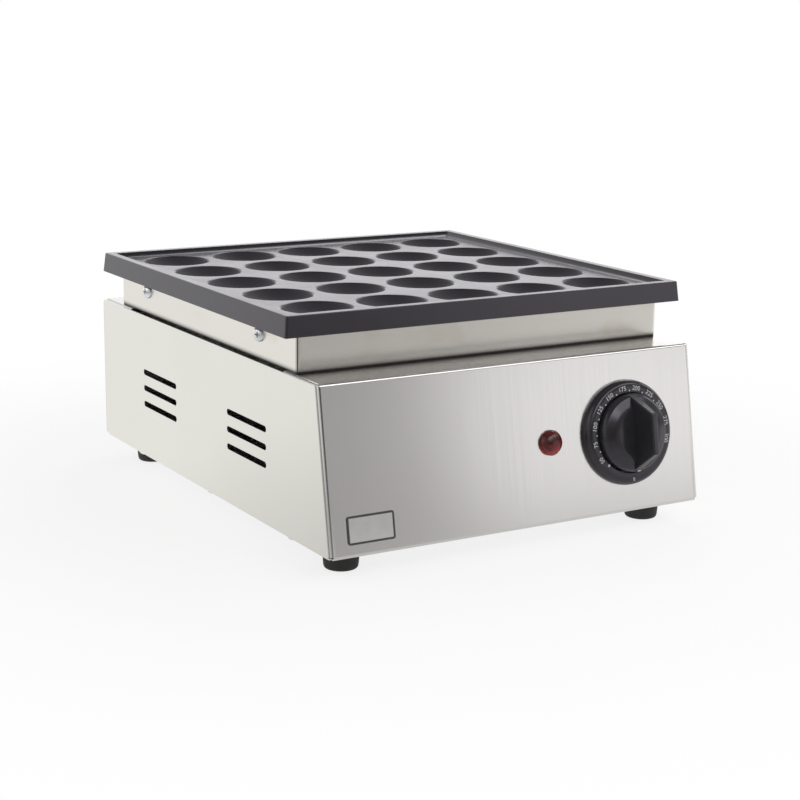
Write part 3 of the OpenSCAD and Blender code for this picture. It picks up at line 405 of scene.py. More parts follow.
low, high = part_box("collar")
tree = collar_steel.node_tree
shader = tree.nodes["Principled BSDF"]
plain_colour = shader.inputs["Base Color"].links[0].from_socket
folded = folded_about(tree, (low + high) / 2)
inset = put(tree, "VectorMath", {0: folded, 1: (high - low) / 2}, operation="SUBTRACT")
past = put(tree, "SeparateXYZ", {0: inset.outputs[0]}).outputs
off_line = maths(tree, "ABSOLUTE", maths(tree, "SUBTRACT", past["X"], past["Y"]))
corner = between(tree, off_line, 1.0, 0.0, CORNER_DARK, CORNER_LINE_END)
# Painted shade: darkest where the collar meets the ledge, fading out a few millimetres up the wall.
painted_foot_shade = between(tree, height_above_floor(tree), 1.0, 0.0, low.z + FOOT_SHADE_FULL, low.z + FOOT_SHADE_END)
corner_lines_and_foot_shade = maths(tree, "MAXIMUM", corner, maths(tree, "POWER", painted_foot_shade, EDGE_FADE))
warm = grain(tree, HEAT_CLOUD, detail=2.0, rough=0.5)
heated = between(tree, warm, 0.0, HEAT_MOST, start=0.56, end=0.70)
tinted = put(tree, "Mix", {0: heated, 6: plain_colour, 7: HEAT_TINT}, data_type="RGBA")
lined_and_shaded = put(tree, "Mix", {0: corner_lines_and_foot_shade, 6: tinted.outputs[2], 7: SEAM_AND_SHADE_DARK}, data_type="RGBA")
tree.links.new(lined_and_shaded.outputs[2], shader.inputs["Base Color"])
print("Collar seams darkened, foot at mm:", round(low.z / MM, 1))

# %% [markdown]
# ## Baked-on coating of the cast plate
# The plate is cast and coated: almost black, with a satin bloom that turns lilac-grey where it is seen at
# a low angle. That bloom is plain gloss on a fine, sandy surface, so the finish is a dark colour with
# low roughness, a slightly raised index of refraction and a very fine relief. Use has made the cups
# duller than the rest, so the roughness rises below the cups' edges, and only inside the rim.

# %% Make the coating
COATING_DARK = (0.0115, 0.0090, 0.0123)
COATING_LIGHT = (0.0165, 0.0130, 0.0176)
COATING_GLOSS = (0.22, 0.27)
SAND = (1900, 1900, 1900)
SAND_DEPTH = 0.000008
PATCHES = (24, 24, 24)
CUP_DULL = 0.42
DULL_FROM, DULL_FULL = 0.3 * MM, 1.6 * MM
RIM_IN = 12 * MM

coating, tree, shader = finish("plate_coating_satin", IOR=1.57, Specular_Tint=(0.96, 0.925, 1.0, 1),
                               Sheen_Weight=0.12, Sheen_Roughness=0.45, Sheen_Tint=(0.95, 0.88, 1.0, 1))
sand = grain(tree, SAND, detail=2.0, rough=0.6)
patch = grain(tree, PATCHES, detail=3.0, rough=0.55)
coloured(tree, shader, patch, COATING_DARK, COATING_LIGHT)
away = put(tree, "SeparateXYZ", {0: folded_about(tree, plate_mid)}).outputs
in_x = maths(tree, "LESS_THAN", away["X"], plate_high.x - plate_mid.x - RIM_IN)
in_y = maths(tree, "LESS_THAN", away["Y"], plate_high.y - plate_mid.y - RIM_IN)
inside = maths(tree, "MULTIPLY", in_x, in_y)
seasoned = between(tree, height_above_floor(tree), CUP_DULL, 0.0, cup_z - DULL_FULL, cup_z - DULL_FROM)
gloss = between(tree, patch, *COATING_GLOSS)
dulled = maths(tree, "MULTIPLY_ADD", seasoned, inside, gloss)
tree.links.new(dulled, shader.inputs["Roughness"])
relief(tree, shader, sand, SAND_DEPTH, strength=0.5)
print("Coating made, cup edges at mm:", round(cup_z / MM, 1))

# %% Make the bakelite, rubber and print
PIT_DEPTH = 0.000006
DUST_DEPTH = 0.00015

bakelite, tree, shader = finish("black_bakelite", IOR=1.47, Specular_Tint=(0.93, 0.88, 1.0, 1))
pits = grain(tree, (700, 700, 700), detail=2.0, rough=0.6)
haze = grain(tree, (60, 60, 60), detail=3.0, rough=0.6)
coloured(tree, shader, haze, dark=(0.018, 0.0172, 0.0190), light=(0.025, 0.0238, 0.0265))
glossed(tree, shader, haze, low=0.16, high=0.22)
relief(tree, shader, pits, PIT_DEPTH, strength=0.4)

rubber, tree, shader = finish("black_rubber_matt", IOR=1.5)
dust = grain(tree, (300, 300, 300), detail=4.0, rough=0.65)
coloured(tree, shader, dust, dark=(0.014, 0.013, 0.013), light=(0.026, 0.024, 0.023))
glossed(tree, shader, dust, low=0.62, high=0.8)
relief(tree, shader, dust, DUST_DEPTH, strength=0.5)

ink, tree, shader = finish("white_print", IOR=1.45)
worn = grain(tree, (1200, 1200, 1200), detail=3.0, rough=0.6)
coloured(tree, shader, worn, dark=(0.34, 0.34, 0.345), light=(0.62, 0.62, 0.62), start=0.25, end=0.60)
glossed(tree, shader, worn, low=0.45, high=0.65)
print("Bakelite, rubber and print made")

# %% [markdown]
# ## Small metal, plastics and what is inside
# Screws are zinc plated, the base and the heat shield are galvanised, terminals and spindle are brass.
# Inside there are mouldings, a fibre board, the dulled sheath of the heating tube and coloured wire.
# One helper gives each its own colour range, gloss and fine surface.

# %% Make the remaining finishes
def speckled(name, dark, light, gloss, size, depth, **sockets):
    """A finish with two close colours, an uneven gloss and a fine relief of that grain size."""
    material, tree, shader = finish(name, **sockets)
    spots = grain(tree, (1 / size,) * 3, detail=3.0, rough=0.6)
    coloured(tree, shader, spots, dark, light)
    glossed(tree, shader, spots, *gloss)
    relief(tree, shader, spots, depth, strength=0.4)
    return material


zinc = speckled("zinc_plate", (0.66, 0.67, 0.69), (0.80, 0.81, 0.82), gloss=(0.22, 0.36),
                size=0.002, depth=0.00002, Metallic=1.0)
galvanised = speckled("galvanised_sheet", (0.50, 0.51, 0.52), (0.66, 0.67, 0.68), gloss=(0.36, 0.52),
                      size=0.012, depth=0.00003, Metallic=1.0)
brass = speckled("brass", (0.62, 0.46, 0.18), (0.78, 0.61, 0.28), gloss=(0.25, 0.40),
                 size=0.002, depth=0.00002, Metallic=1.0)
sheath = speckled("heater_sheath", (0.16, 0.13, 0.11), (0.30, 0.25, 0.21), gloss=(0.45, 0.65),
                  size=0.006, depth=0.00004, Metallic=1.0)
fibre_board = speckled("fibre_board", (0.62, 0.60, 0.54), (0.76, 0.74, 0.68), gloss=(0.8, 0.95),
                       size=0.003, depth=0.0004)
pale_moulding = speckled("pale_moulding", (0.74, 0.73, 0.69), (0.82, 0.81, 0.77), gloss=(0.38, 0.5),
                         size=0.004, depth=0.00003)
dark_moulding = speckled("dark_moulding", (0.016, 0.016, 0.016), (0.028, 0.028, 0.028),
                         gloss=(0.42, 0.55), size=0.0015, depth=0.00005)
FINISHES = {"stainless": rear_steel_shaded, "plate_coating": coating, "galvanised": galvanised,
            "zinc_fastener": zinc, "black_gloss": bakelite, "black_rubber": rubber,
            "white_plastic": pale_moulding, "black_plastic": dark_moulding, "brass": brass,
            "heater_sheath": sheath, "fibre_board": fibre_board}
WIRES = {"brown_insulation": ((0.14, 0.07, 0.03), (0.20, 0.10, 0.05)),
         "blue_insulation": ((0.02, 0.08, 0.30), (0.03, 0.11, 0.40)),
         "green_insulation": ((0.07, 0.22, 0.03), (0.11, 0.30, 0.05))}
for name, (dark, light) in WIRES.items():
    FINISHES[name] = speckled(name, dark, light, gloss=(0.4, 0.5), size=0.002, depth=0.00002)
print("Finishes so far:", len(FINISHES))

# %% [markdown]
# ## Red lens and blank badge
# The indicator's lens is clear red plastic over a dark lamp, so its middle is dark. Its colour is painted
# brighter red towards its lower edge, a painted glow of light coming through, and darker towards its top.
# The badge is a small satin metal plate with a dark border.

# %% Make the lens and badge finishes
LENS_DARK = (0.27, 0.014, 0.018)
LENS_PAINTED_GLOW = (0.88, 0.040, 0.045)
LENS_FLOW = (220, 220, 220)
PAINTED_GLOW_AT_FOOT, PAINTED_GLOW_AT_TOP = 0.9, 0.1

lens_red, tree, shader = finish("clear_red_lens", IOR=1.49, Transmission_Weight=0.85)
flow = grain(tree, LENS_FLOW, detail=2.0, rough=0.5)
low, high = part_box("indicator_lens")
# Painted light: the red is brightest at the lens's lower edge and darkest at its top.
painted_glow = between(tree, height_above_floor(tree), PAINTED_GLOW_AT_FOOT, PAINTED_GLOW_AT_TOP, low.z, high.z)
glow_and_flow = maths(tree, "MULTIPLY", painted_glow, flow)
coloured(tree, shader, glow_and_flow, LENS_DARK, LENS_PAINTED_GLOW, start=0.20, end=0.46)
glossed(tree, shader, flow, low=0.24, high=0.32)

badge_satin = speckled("badge_satin", (0.60, 0.60, 0.595), (0.65, 0.65, 0.64), gloss=(0.34, 0.40),
                       size=0.009, depth=0.000004, Metallic=1.0)
badge_border = speckled("badge_border", (0.035, 0.033, 0.032), (0.06, 0.056, 0.054), gloss=(0.4, 0.55),
                        size=0.002, depth=0.00002)
FINISHES["red_lens"] = lens_red
FINISHES["badge_steel"] = badge_satin
for node in nodes.values():
    slot = node.data.materials[0].name
    node.data.materials[0] = FINISHES[slot]
print("Finishes put on the CAD nodes:", len(nodes))

# %% [markdown]
# ## Helpers for modelling
# Pieces are modelled with the same operators that the menus run. An operator acts on all that is
# selected, so each piece starts by selecting nothing. Turned pieces, such as feet and the dial, start as
# a circle whose edge is extruded ring by ring up a profile, as a potter pulls up a wall.

# %% Selecting and shaping
TINY = 1e-6


def fresh():
    """Leaves edit mode and selects nothing."""
    if bpy.context.object is not None and bpy.context.object.mode != "OBJECT":
        bpy.ops.object.mode_set(mode="OBJECT")
    bpy.ops.object.select_all(action="DESELECT")


def take(piece):
    """Selects one piece alone and makes it the active one."""
    fresh()
    piece.select_set(True)
    bpy.context.view_layer.objects.active = piece


def begin(name):
    """Names the primitive that was just added and opens it in edit mode."""
    piece = bpy.context.object
    piece.name = piece.data.name = name
    bpy.ops.object.mode_set(mode="EDIT")
    return piece


def pick(kind, test):
    """Selects only the vertices, edges or faces that pass a test."""
    bpy.ops.mesh.select_mode(type={"verts": "VERT", "edges": "EDGE", "faces": "FACE"}[kind])
    bpy.ops.mesh.select_all(action="DESELECT")
    mesh = bmesh.from_edit_mesh(bpy.context.edit_object.data)
    chosen = [item for item in getattr(mesh, kind) if test(item)]
    for item in chosen:
        item.select_set(True)
    mesh.select_flush_mode()
    bmesh.update_edit_mesh(bpy.context.edit_object.data)
    return len(chosen)


def ring_to(centre, scale_x, scale_y, rise):
    """Extrudes the selected loop of edges, then scales it about a centre and lifts it."""
    bpy.ops.mesh.extrude_edges_move()
    bpy.ops.transform.resize(value=(scale_x, scale_y, 1), center_override=centre)
    bpy.ops.transform.translate(value=(0, 0, rise))


def eased(points, radii, steps=3):
    """Rounds the inner corners of a line of points, each by its own radius."""
    line = [points[0]]
    for before, at, after, radius in zip(points, points[1:], points[2:], radii):
        before, at, after = Vector(before), Vector(at), Vector(after)
        if radius == 0:
            line.append(tuple(at))
            continue
        enter = at + (before - at).normalized() * radius
        leave = at + (after - at).normalized() * radius
        for i in range(steps + 1):
            t = i / steps
            line.append(tuple(enter * (1 - t) ** 2 + at * 2 * t * (1 - t) + leave * t ** 2))
    return line + [points[-1]]


def turned(name, profile, segments, hollow=False):
    """A piece turned about Z. The profile is (radius, height) points; a hollow one joins its ends."""
    fresh()
    radius, height = profile[0]
    bpy.ops.mesh.primitive_circle_add(vertices=segments, radius=radius, location=(0, 0, height))
    bpy.ops.object.transform_apply(location=True, rotation=False, scale=False)
    piece = begin(name)
    bpy.ops.mesh.select_all(action="SELECT")
    if not hollow:
        bpy.ops.mesh.edge_face_add()
    points = profile + profile[:1] if hollow else profile
    for (r0, z0), (r1, z1) in zip(points, points[1:]):
        ring_to((0, 0, z0), r1 / r0, r1 / r0, z1 - z0)
    if not hollow:
        bpy.ops.mesh.edge_face_add()
    bpy.ops.mesh.select_all(action="SELECT")
    bpy.ops.mesh.remove_doubles(threshold=TINY)
    bpy.ops.mesh.normals_make_consistent(inside=False)
    bpy.ops.object.mode_set(mode="OBJECT")
    return piece


print("Shaping helpers ready")

# %% Placing and finishing
def smooth(piece, degrees=40):
    """Smooth shading that keeps edges sharper than an angle, and keeps large flats flat."""
    take(piece)
    bpy.ops.object.shade_smooth_by_angle(angle=math.radians(degrees))
    bpy.ops.object.modifier_add(type="WEIGHTED_NORMAL")
    piece.modifiers[-1].keep_sharp = True
    bpy.ops.object.modifier_apply(modifier=piece.modifiers[-1].name)


def place(piece, where, turn=(0, 0, 0)):
    """Puts a piece in the shared frame and applies its place to its mesh."""
    take(piece)
    piece.location = where
    piece.rotation_euler = turn
    bpy.ops.object.transform_apply(location=True, rotation=True, scale=True)


def joined(pieces, name):
    """Joins pieces into the first one, under a name."""
    take(pieces[0])
    for piece in pieces:
        piece.select_set(True)
    bpy.ops.object.join()
    pieces[0].name = pieces[0].data.name = name
    return pieces[0]


def settle(piece, body, material, replaced=()):
    """Gives a finished piece its material, the CAD body it moves with and the nodes it stands for."""
    piece.data.materials.clear()
    piece.data.materials.append(material)
    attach(piece, body)
    if replaced:
        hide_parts(*replaced)
    print(piece.name, "faces:", len(piece.data.polygons))


print("Finishing helpers ready")

# %% [markdown]
# ## The cast plate: one cup
# The plate is a single casting whose surface carries five rows of five round dished cups. One square cell
# with one cup is enough: a circle is pulled down ring by ring into a bowl that is steep at its edge and
# flat in its middle, the circle's edge is bridged to the square around it, and the edge gets the small
# radius that catches a line of light.

# %% Model one cup in its cell
CUP_R = 25 * MM
CUP_DEPTH = 8.5 * MM
CUP_EDGE = 0.7 * MM
CUP_RINGS = 9
CUP_POWER = 3.5
PITCH = 57.5 * MM
CUPS_ALONG = 5
CELL_CUTS = 15

reach = (CUPS_ALONG - 1) / 2 * PITCH
first_cup = Vector((plate_mid.x - reach, plate_mid.y - reach, cup_z))


def pick_cup_edge():
    """Selects the circle at the cup's edge."""
    pick("edges", lambda e: all(abs((v.co - first_cup).length - CUP_R) < TINY for v in e.verts))


fresh()
bpy.ops.mesh.primitive_circle_add(vertices=4 * (CELL_CUTS + 1), radius=CUP_R, location=first_cup)
bpy.ops.object.transform_apply(location=True, rotation=False, scale=False)
plate = begin("cast_plate")
bpy.ops.mesh.select_all(action="DESELECT")
bpy.ops.mesh.primitive_plane_add(size=PITCH, location=first_cup)
bpy.ops.mesh.delete(type="ONLY_FACE")
pick("edges", lambda e: e.calc_length() > PITCH / 2)
bpy.ops.mesh.subdivide(number_cuts=CELL_CUTS)
bpy.ops.mesh.select_all(action="SELECT")
bpy.ops.mesh.bridge_edge_loops()
pick_cup_edge()
radius, depth = CUP_R, 0.0
for i in range(CUP_RINGS, 0, -1):
    part = math.sin(math.pi / 2 * i / (CUP_RINGS + 1))
    next_radius = CUP_R * part
    next_depth = CUP_DEPTH * (1 - part ** CUP_POWER)
    ring_to(first_cup, next_radius / radius, next_radius / radius, depth - next_depth)
    radius, depth = next_radius, next_depth
bpy.ops.mesh.extrude_edges_move()
bpy.ops.transform.translate(value=(0, 0, depth - CUP_DEPTH))
bpy.ops.mesh.merge(type="CENTER")
pick_cup_edge()
bpy.ops.mesh.bevel(offset=CUP_EDGE, segments=3, affect="EDGES")
bpy.ops.object.mode_set(mode="OBJECT")
cell_area = sum(f.area for f in plate.data.polygons) / MM ** 2
print("One cup:", len(plate.data.polygons), "faces,", round(cell_area), "square mm")

# %% [markdown]
# ## The cast plate: rows, rim and underside
# Two arrays repeat the cell, and their seams are merged. The body starts as a rounded rectangle at the
# foot of the outer wall. Its loop of edges is pulled up the drafted wall, over the rounded rim and down to
# the floor between the cups, where a fill joins the two. The loop left at the foot of the wall is then
# pulled inwards and down for the rib that sits inside the collar.

# %% Repeat the cell
for axis in range(2):
    bpy.ops.object.modifier_add(type="ARRAY")
    array = plate.modifiers[-1]
    array.count = CUPS_ALONG
    array.use_relative_offset = False
    array.use_constant_offset = True
    array.constant_offset_displace = [PITCH if i == axis else 0 for i in range(3)]
    array.use_merge_vertices = True
    array.merge_threshold = TINY
    bpy.ops.object.modifier_apply(modifier=array.name)
print("All cups:", len(plate.data.polygons), "faces")

# %% Pull up the wall and the rim
LIP_H = 14.2 * MM
DRAFT = 1.4 * MM
CORNER_R = 1.6 * MM
RIM_LAND = 6.5 * MM
RIM_SLOPE = 2.8 * MM
RIM_FILLET = 4.4 * MM
RIM_OUTER_EASE = 0.8 * MM
RIM_INNER_EASE = 0.5 * MM
RIM_FOOT_EASE = 4.1 * MM

rim_z = plate_high.z
lip_z = rim_z - LIP_H
width, length = plate_high.x - plate_low.x, plate_high.y - plate_low.y
foot_of_wall = Vector((plate_mid.x, plate_mid.y, lip_z))
bpy.ops.object.mode_set(mode="EDIT")
bpy.ops.mesh.select_all(action="DESELECT")
bpy.ops.mesh.primitive_plane_add(size=1, location=foot_of_wall)
bpy.ops.transform.resize(value=(width, length, 1), center_override=foot_of_wall)
bpy.ops.mesh.bevel(offset=CORNER_R, segments=8, affect="VERTICES")
bpy.ops.mesh.select_linked()
bpy.ops.mesh.delete(type="ONLY_FACE")
pick("edges", lambda e: e.is_wire)
wall = eased([(0, lip_z), (DRAFT, rim_z), (DRAFT + RIM_LAND, rim_z),
              (DRAFT + RIM_LAND + RIM_SLOPE, cup_z),
              (DRAFT + RIM_LAND + RIM_SLOPE + RIM_FILLET, cup_z)],
             [RIM_OUTER_EASE, RIM_INNER_EASE, RIM_FOOT_EASE], steps=8)
for (in0, z0), (in1, z1) in zip(wall, wall[1:]):
    scale_x = (width - 2 * in1) / (width - 2 * in0)
    scale_y = (length - 2 * in1) / (length - 2 * in0)
    ring_to(foot_of_wall, scale_x, scale_y, z1 - z0)
pick("edges", lambda e: e.is_boundary and all(abs(v.co.z - cup_z) < TINY for v in e.verts))
bpy.ops.mesh.fill(use_beauty=True)
print("Rings in the wall and the rim:", len(wall))

# %% Pull the rib down and close the underside
RIB_IN = 14.7 * MM
RIB_IN_Y = 9.5 * MM
RIB_SHIFT = 1.5 * MM
RIB_W = 9 * MM
PLATE_T = 13 * MM

pick("edges", lambda e: e.is_boundary)
ring_to(foot_of_wall, 1 - 2 * RIB_IN / width, 1 - 2 * RIB_IN_Y / length, 0)
bpy.ops.transform.translate(value=(0, RIB_SHIFT, 0))
rib_mid = foot_of_wall + Vector((0, RIB_SHIFT, 0))
rib_x, rib_y = width - 2 * RIB_IN, length - 2 * RIB_IN_Y
ring_to(rib_mid, 1, 1, plate_low.z - lip_z)
ring_to(rib_mid, 1 - 2 * RIB_W / rib_x, 1 - 2 * RIB_W / rib_y, 0)
ring_to(rib_mid, 1, 1, cup_z - PLATE_T - plate_low.z)
bpy.ops.mesh.edge_face_add()
bpy.ops.mesh.select_all(action="SELECT")
bpy.ops.mesh.remove_doubles(threshold=TINY)
bpy.ops.mesh.normals_make_consistent(inside=False)
bpy.ops.object.mode_set(mode="OBJECT")
smooth(plate)
settle(plate, "casing", coating, ["griddle_plate"])

# %% [markdown]
# ## Folded sheet
# The panels' shapes are right in the CAD model, but its loose triangles show each fold as a row of flats.
# A copy of each panel is merged into one skin and shaded smooth, with normals weighted by area, so that
# the folds shine as one line and the large faces stay flat. The side sheets' top edges are then raised
# a little, which narrows the gap beside the collar to a thin line.

# %% Merge and smooth the panels
SIDE_RAISE = 2.1 * MM


def sheet_skin(node_name, name, material):
    """A merged, smooth copy of a CAD panel."""
    piece = bpy.data.objects.new(name, nodes[node_name].data.copy())
    piece.data.name = name
    bpy.context.scene.collection.objects.link(piece)
    take(piece)
    bpy.ops.mesh.customdata_custom_splitnormals_clear()
    bpy.ops.object.mode_set(mode="EDIT")
    bpy.ops.mesh.select_all(action="SELECT")
    bpy.ops.mesh.remove_doubles(threshold=TINY)
    bpy.ops.mesh.mark_sharp(clear=True)
    bpy.ops.object.mode_set(mode="OBJECT")
    smooth(piece, degrees=32)
    settle(piece, "casing", material, [node_name])
    return piece


sheet_skin("front_panel", "front_sheet", front_steel_shaded)
sheet_skin("rear_panel", "rear_sheet", rear_steel_shaded)
for side in ("left", "right"):
    skin = sheet_skin(side + "_side_panel", side + "_side_sheet", side_steel_lit)
    top_edge = max(v.co.z for v in skin.data.vertices)
    bpy.ops.object.mode_set(mode="EDIT")
    raised = pick("verts", lambda v: v.co.z > top_edge - TINY)
    bpy.ops.transform.translate(value=(0, 0, SIDE_RAISE))
    bpy.ops.object.mode_set(mode="OBJECT")
    print(skin.name, "top edge raised at", raised, "corners")
sheet_skin("collar", "collar_band", collar_steel)

# %% [markdown]
# ## Rubber feet
# Each foot is a moulded rubber cone with a rounded lower edge. One is turned up from its profile, and
# the feet are copies of it with their own meshes, placed where the CAD feet are.

# %% Turn the feet
FOOT_FLOOR_R = 11.5 * MM
FOOT_FLAT_SHARE = 0.6
FOOT_TOP_R = 13 * MM
FOOT_ROUND = 2.6 * MM
FOOT_NAMES = ("foot_front_left", "foot_front_right", "foot_rear_left", "foot_rear_right")


def copied(piece, name):
    """A copy of a piece with its own mesh."""
    twin = piece.copy()
    twin.data = piece.data.copy()
    twin.name = twin.data.name = name
    bpy.context.scene.collection.objects.link(twin)
    return twin


foot_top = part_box("foot_front_left")[1].z
foot_profile = eased([(FOOT_FLAT_SHARE * FOOT_FLOOR_R, 0), (FOOT_FLOOR_R, 0), (FOOT_TOP_R, foot_top)],
                     [FOOT_ROUND], steps=5)
foot = turned("rubber_foot", foot_profile, segments=48)
smooth(foot)
for node_name in FOOT_NAMES:
    low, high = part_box(node_name)
    twin = copied(foot, node_name + "_rubber")
    place(twin, ((low.x + high.x) / 2, (low.y + high.y) / 2, 0))
    settle(twin, "casing", rubber, [node_name])
bpy.data.objects.remove(foot)

# %% [markdown]
# ## The dial's bezel and its print
# A black bakelite ring is fixed round the knob. It is turned from a profile with rounded shoulders. Its
# white scale is plain numbers from 50 to 300 with a dot between each two, drawn as text, made into thin
# meshes and laid on the ring's face. Angles run clockwise from the bottom, where a small zero stands
# and the pointer rests at off.

# %% Turn the bezel
BEZEL_R = 36.9 * MM
BEZEL_IN = 27.9 * MM
BEZEL_H = 6.5 * MM
BEZEL_LEAN = 1.2 * MM
BEZEL_BASE = 1.5 * MM
BEZEL_HOLE = 5 * MM
BEZEL_BASE_ROUND = 0.5 * MM
BEZEL_OUTER_ROUND = 3.8 * MM
BEZEL_INNER_ROUND = 0.7 * MM

joint = frame["joints"][0]
dial_at = Vector(joint["pos_m"])
outward = Vector(joint["axis"])
panel_turn = (math.pi / 2 - math.asin(outward.z), 0, 0)
bezel_profile = eased([(BEZEL_HOLE, 0), (BEZEL_R, 0), (BEZEL_R, BEZEL_BASE),
                       (BEZEL_R - BEZEL_LEAN, BEZEL_H), (BEZEL_IN, BEZEL_H),
                       (BEZEL_IN, BEZEL_BASE), (BEZEL_HOLE, BEZEL_BASE)],
                      [0, BEZEL_BASE_ROUND, BEZEL_OUTER_ROUND, BEZEL_INNER_ROUND, 0], steps=6)
bezel = turned("bezel_ring", bezel_profile, segments=96, hollow=True)
smooth(bezel)
place(bezel, dial_at, panel_turn)
settle(bezel, "casing", bakelite, ["dial_bezel"])

# %% Print the scale
NUMBER_R = 31.0 * MM
NUMBER_SIZE = 4.6 * MM
FIRST_NUMBER, LAST_NUMBER, NUMBER_STEP = 50, 300, 25
FIRST_ANGLE = 58.0
ANGLE_STEP = 22.5
DOT_R = 29.3 * MM
DOT_SIZE = 0.55 * MM
START_DOT_SIZE = 0.9 * MM
START_DOT_ANGLE = 45.0
ZERO_R = 32.6 * MM
ZERO_SIZE = 3.4 * MM
INK = 0.06 * MM


def on_ring(radius, degrees):
    """A place on the bezel's face, clockwise from the bottom."""
    turn = math.radians(degrees)
    return Vector((-radius * math.sin(turn), -radius * math.cos(turn), BEZEL_H))


def printed(text, size, radius, degrees):
    """A number as a thin mesh with its top outwards."""
    fresh()
    bpy.ops.object.text_add(location=on_ring(radius, degrees),
                            rotation=(0, 0, math.pi - math.radians(degrees)))
    letters = bpy.context.object
    letters.data.body = text
    letters.data.size = size
    letters.data.align_x = letters.data.align_y = "CENTER"
    letters.data.extrude = INK
    letters.data.resolution_u = 3
    bpy.ops.object.convert(target="MESH")
    bpy.ops.object.transform_apply(location=True, rotation=True, scale=True)
    return bpy.context.object


def dot(size, radius, degrees):
    """A round printed dot."""
    made = turned("dot", [(size, -INK), (size, INK)], segments=16)
    place(made, on_ring(radius, degrees))
    return made


marks = []
for i, number in enumerate(range(FIRST_NUMBER, LAST_NUMBER + 1, NUMBER_STEP)):
    degrees = FIRST_ANGLE + i * ANGLE_STEP
    marks.append(printed(str(number), NUMBER_SIZE, NUMBER_R, degrees))
    if number < LAST_NUMBER:
        marks.append(dot(DOT_SIZE, DOT_R, degrees + ANGLE_STEP / 2))
marks.append(dot(START_DOT_SIZE, DOT_R, START_DOT_ANGLE))
marks.append(printed("0", ZERO_SIZE, ZERO_R, 0.0))
scale_print = joined(marks, "dial_scale")
place(scale_print, dial_at, panel_turn)
settle(scale_print, "casing", ink)

# %% [markdown]
# ## The knob
# The knob is a round black disc with a thin, tall bar across it for the fingers. The disc is turned, with
# a conical shoulder and a nearly flat middle. The bar is a cube whose top is made narrower and shorter,
# so that its ends slope, and whose edges are rounded. A boolean union makes them one moulding. A white
# dash on the disc's sloping edge points down at off.

# %% Turn the disc
DISC_R = 27.3 * MM
DISC_UNDER = 4.3 * MM
DISC_TOP = 14 * MM
DISC_RUN = 1.7 * MM
DISC_FALL = 3.8 * MM
SHOULDER_RISE = 2.2 * MM
CONE_RUN = 7.5 * MM
CONE_RISE = 2.9 * MM
MIDDLE_RISE = 0.5 * MM
MIDDLE_SHARE = 0.2
HUB_R = 7 * MM
HUB_UNDER = 2.1 * MM
DISC_EASE = (0, 0.6 * MM, 0.9 * MM, 0.9 * MM, 2.5 * MM)

shoulder_z = DISC_TOP - DISC_FALL
edge_r, edge_z = DISC_R - DISC_RUN, shoulder_z + SHOULDER_RISE
cone_r, cone_z = edge_r - CONE_RUN, edge_z + CONE_RISE
disc_profile = eased([(HUB_R, HUB_UNDER), (HUB_R, DISC_UNDER), (DISC_R, DISC_UNDER),
                      (DISC_R, shoulder_z), (edge_r, edge_z), (cone_r, cone_z),
                      (MIDDLE_SHARE * cone_r, cone_z + MIDDLE_RISE)], DISC_EASE, steps=5)
knob = turned("knob_moulding", disc_profile, segments=96)
print("Disc:", len(knob.data.polygons), "faces")

# %% Shape the grip
GRIP_L = 50 * MM
GRIP_TOP_L = 28 * MM
GRIP_W = 7 * MM
GRIP_TOP_W = 4.4 * MM
GRIP_H = 20 * MM
GRIP_ROUND = 0.9 * MM
GRIP_SINK = 3.0 * MM

fresh()
knob_top = DISC_TOP + GRIP_H
grip_foot = DISC_TOP - GRIP_SINK
grip_mid = Vector((0, 0, (knob_top + grip_foot) / 2))
foot_l = GRIP_L + (GRIP_L - GRIP_TOP_L) * GRIP_SINK / GRIP_H
bpy.ops.mesh.primitive_cube_add(size=1, location=grip_mid)
bpy.ops.object.transform_apply(location=True, rotation=False, scale=False)
grip = begin("knob_grip")
bpy.ops.mesh.select_all(action="SELECT")
bpy.ops.transform.resize(value=(GRIP_W, foot_l, knob_top - grip_foot), center_override=grip_mid)
pick("verts", lambda v: v.co.z > grip_mid.z)
bpy.ops.transform.resize(value=(GRIP_TOP_W / GRIP_W, GRIP_TOP_L / foot_l, 1), center_override=grip_mid)
pick("edges", lambda e: max(v.co.z for v in e.verts) > grip_foot + TINY)
bpy.ops.mesh.bevel(offset=GRIP_ROUND, segments=4, affect="EDGES")
bpy.ops.object.mode_set(mode="OBJECT")
print("Grip's foot in mm:", round(GRIP_W / MM, 1), "by", round(foot_l / MM, 1))

# %% Join the grip and the disc
def combine(piece, tool, operation):
    """Applies a boolean with another piece, and removes that piece."""
    take(piece)
    bpy.ops.object.modifier_add(type="BOOLEAN")
    piece.modifiers[-1].operation = operation
    piece.modifiers[-1].object = tool
    piece.modifiers[-1].solver = "MANIFOLD"
    bpy.ops.object.modifier_apply(modifier=piece.modifiers[-1].name)
    bpy.data.objects.remove(tool)


combine(knob, grip, "UNION")
smooth(knob)
place(knob, dial_at, panel_turn)
settle(knob, "knob", bakelite, ["control_knob"])

# %% Let in the pointer
POINTER_W = 3.0 * MM
POINTER_L = 2.8 * MM
POINTER_T = 4 * INK
POINTER_ROUND = 0.45 * POINTER_W
POINTER_ASIDE = 1.4 * MM

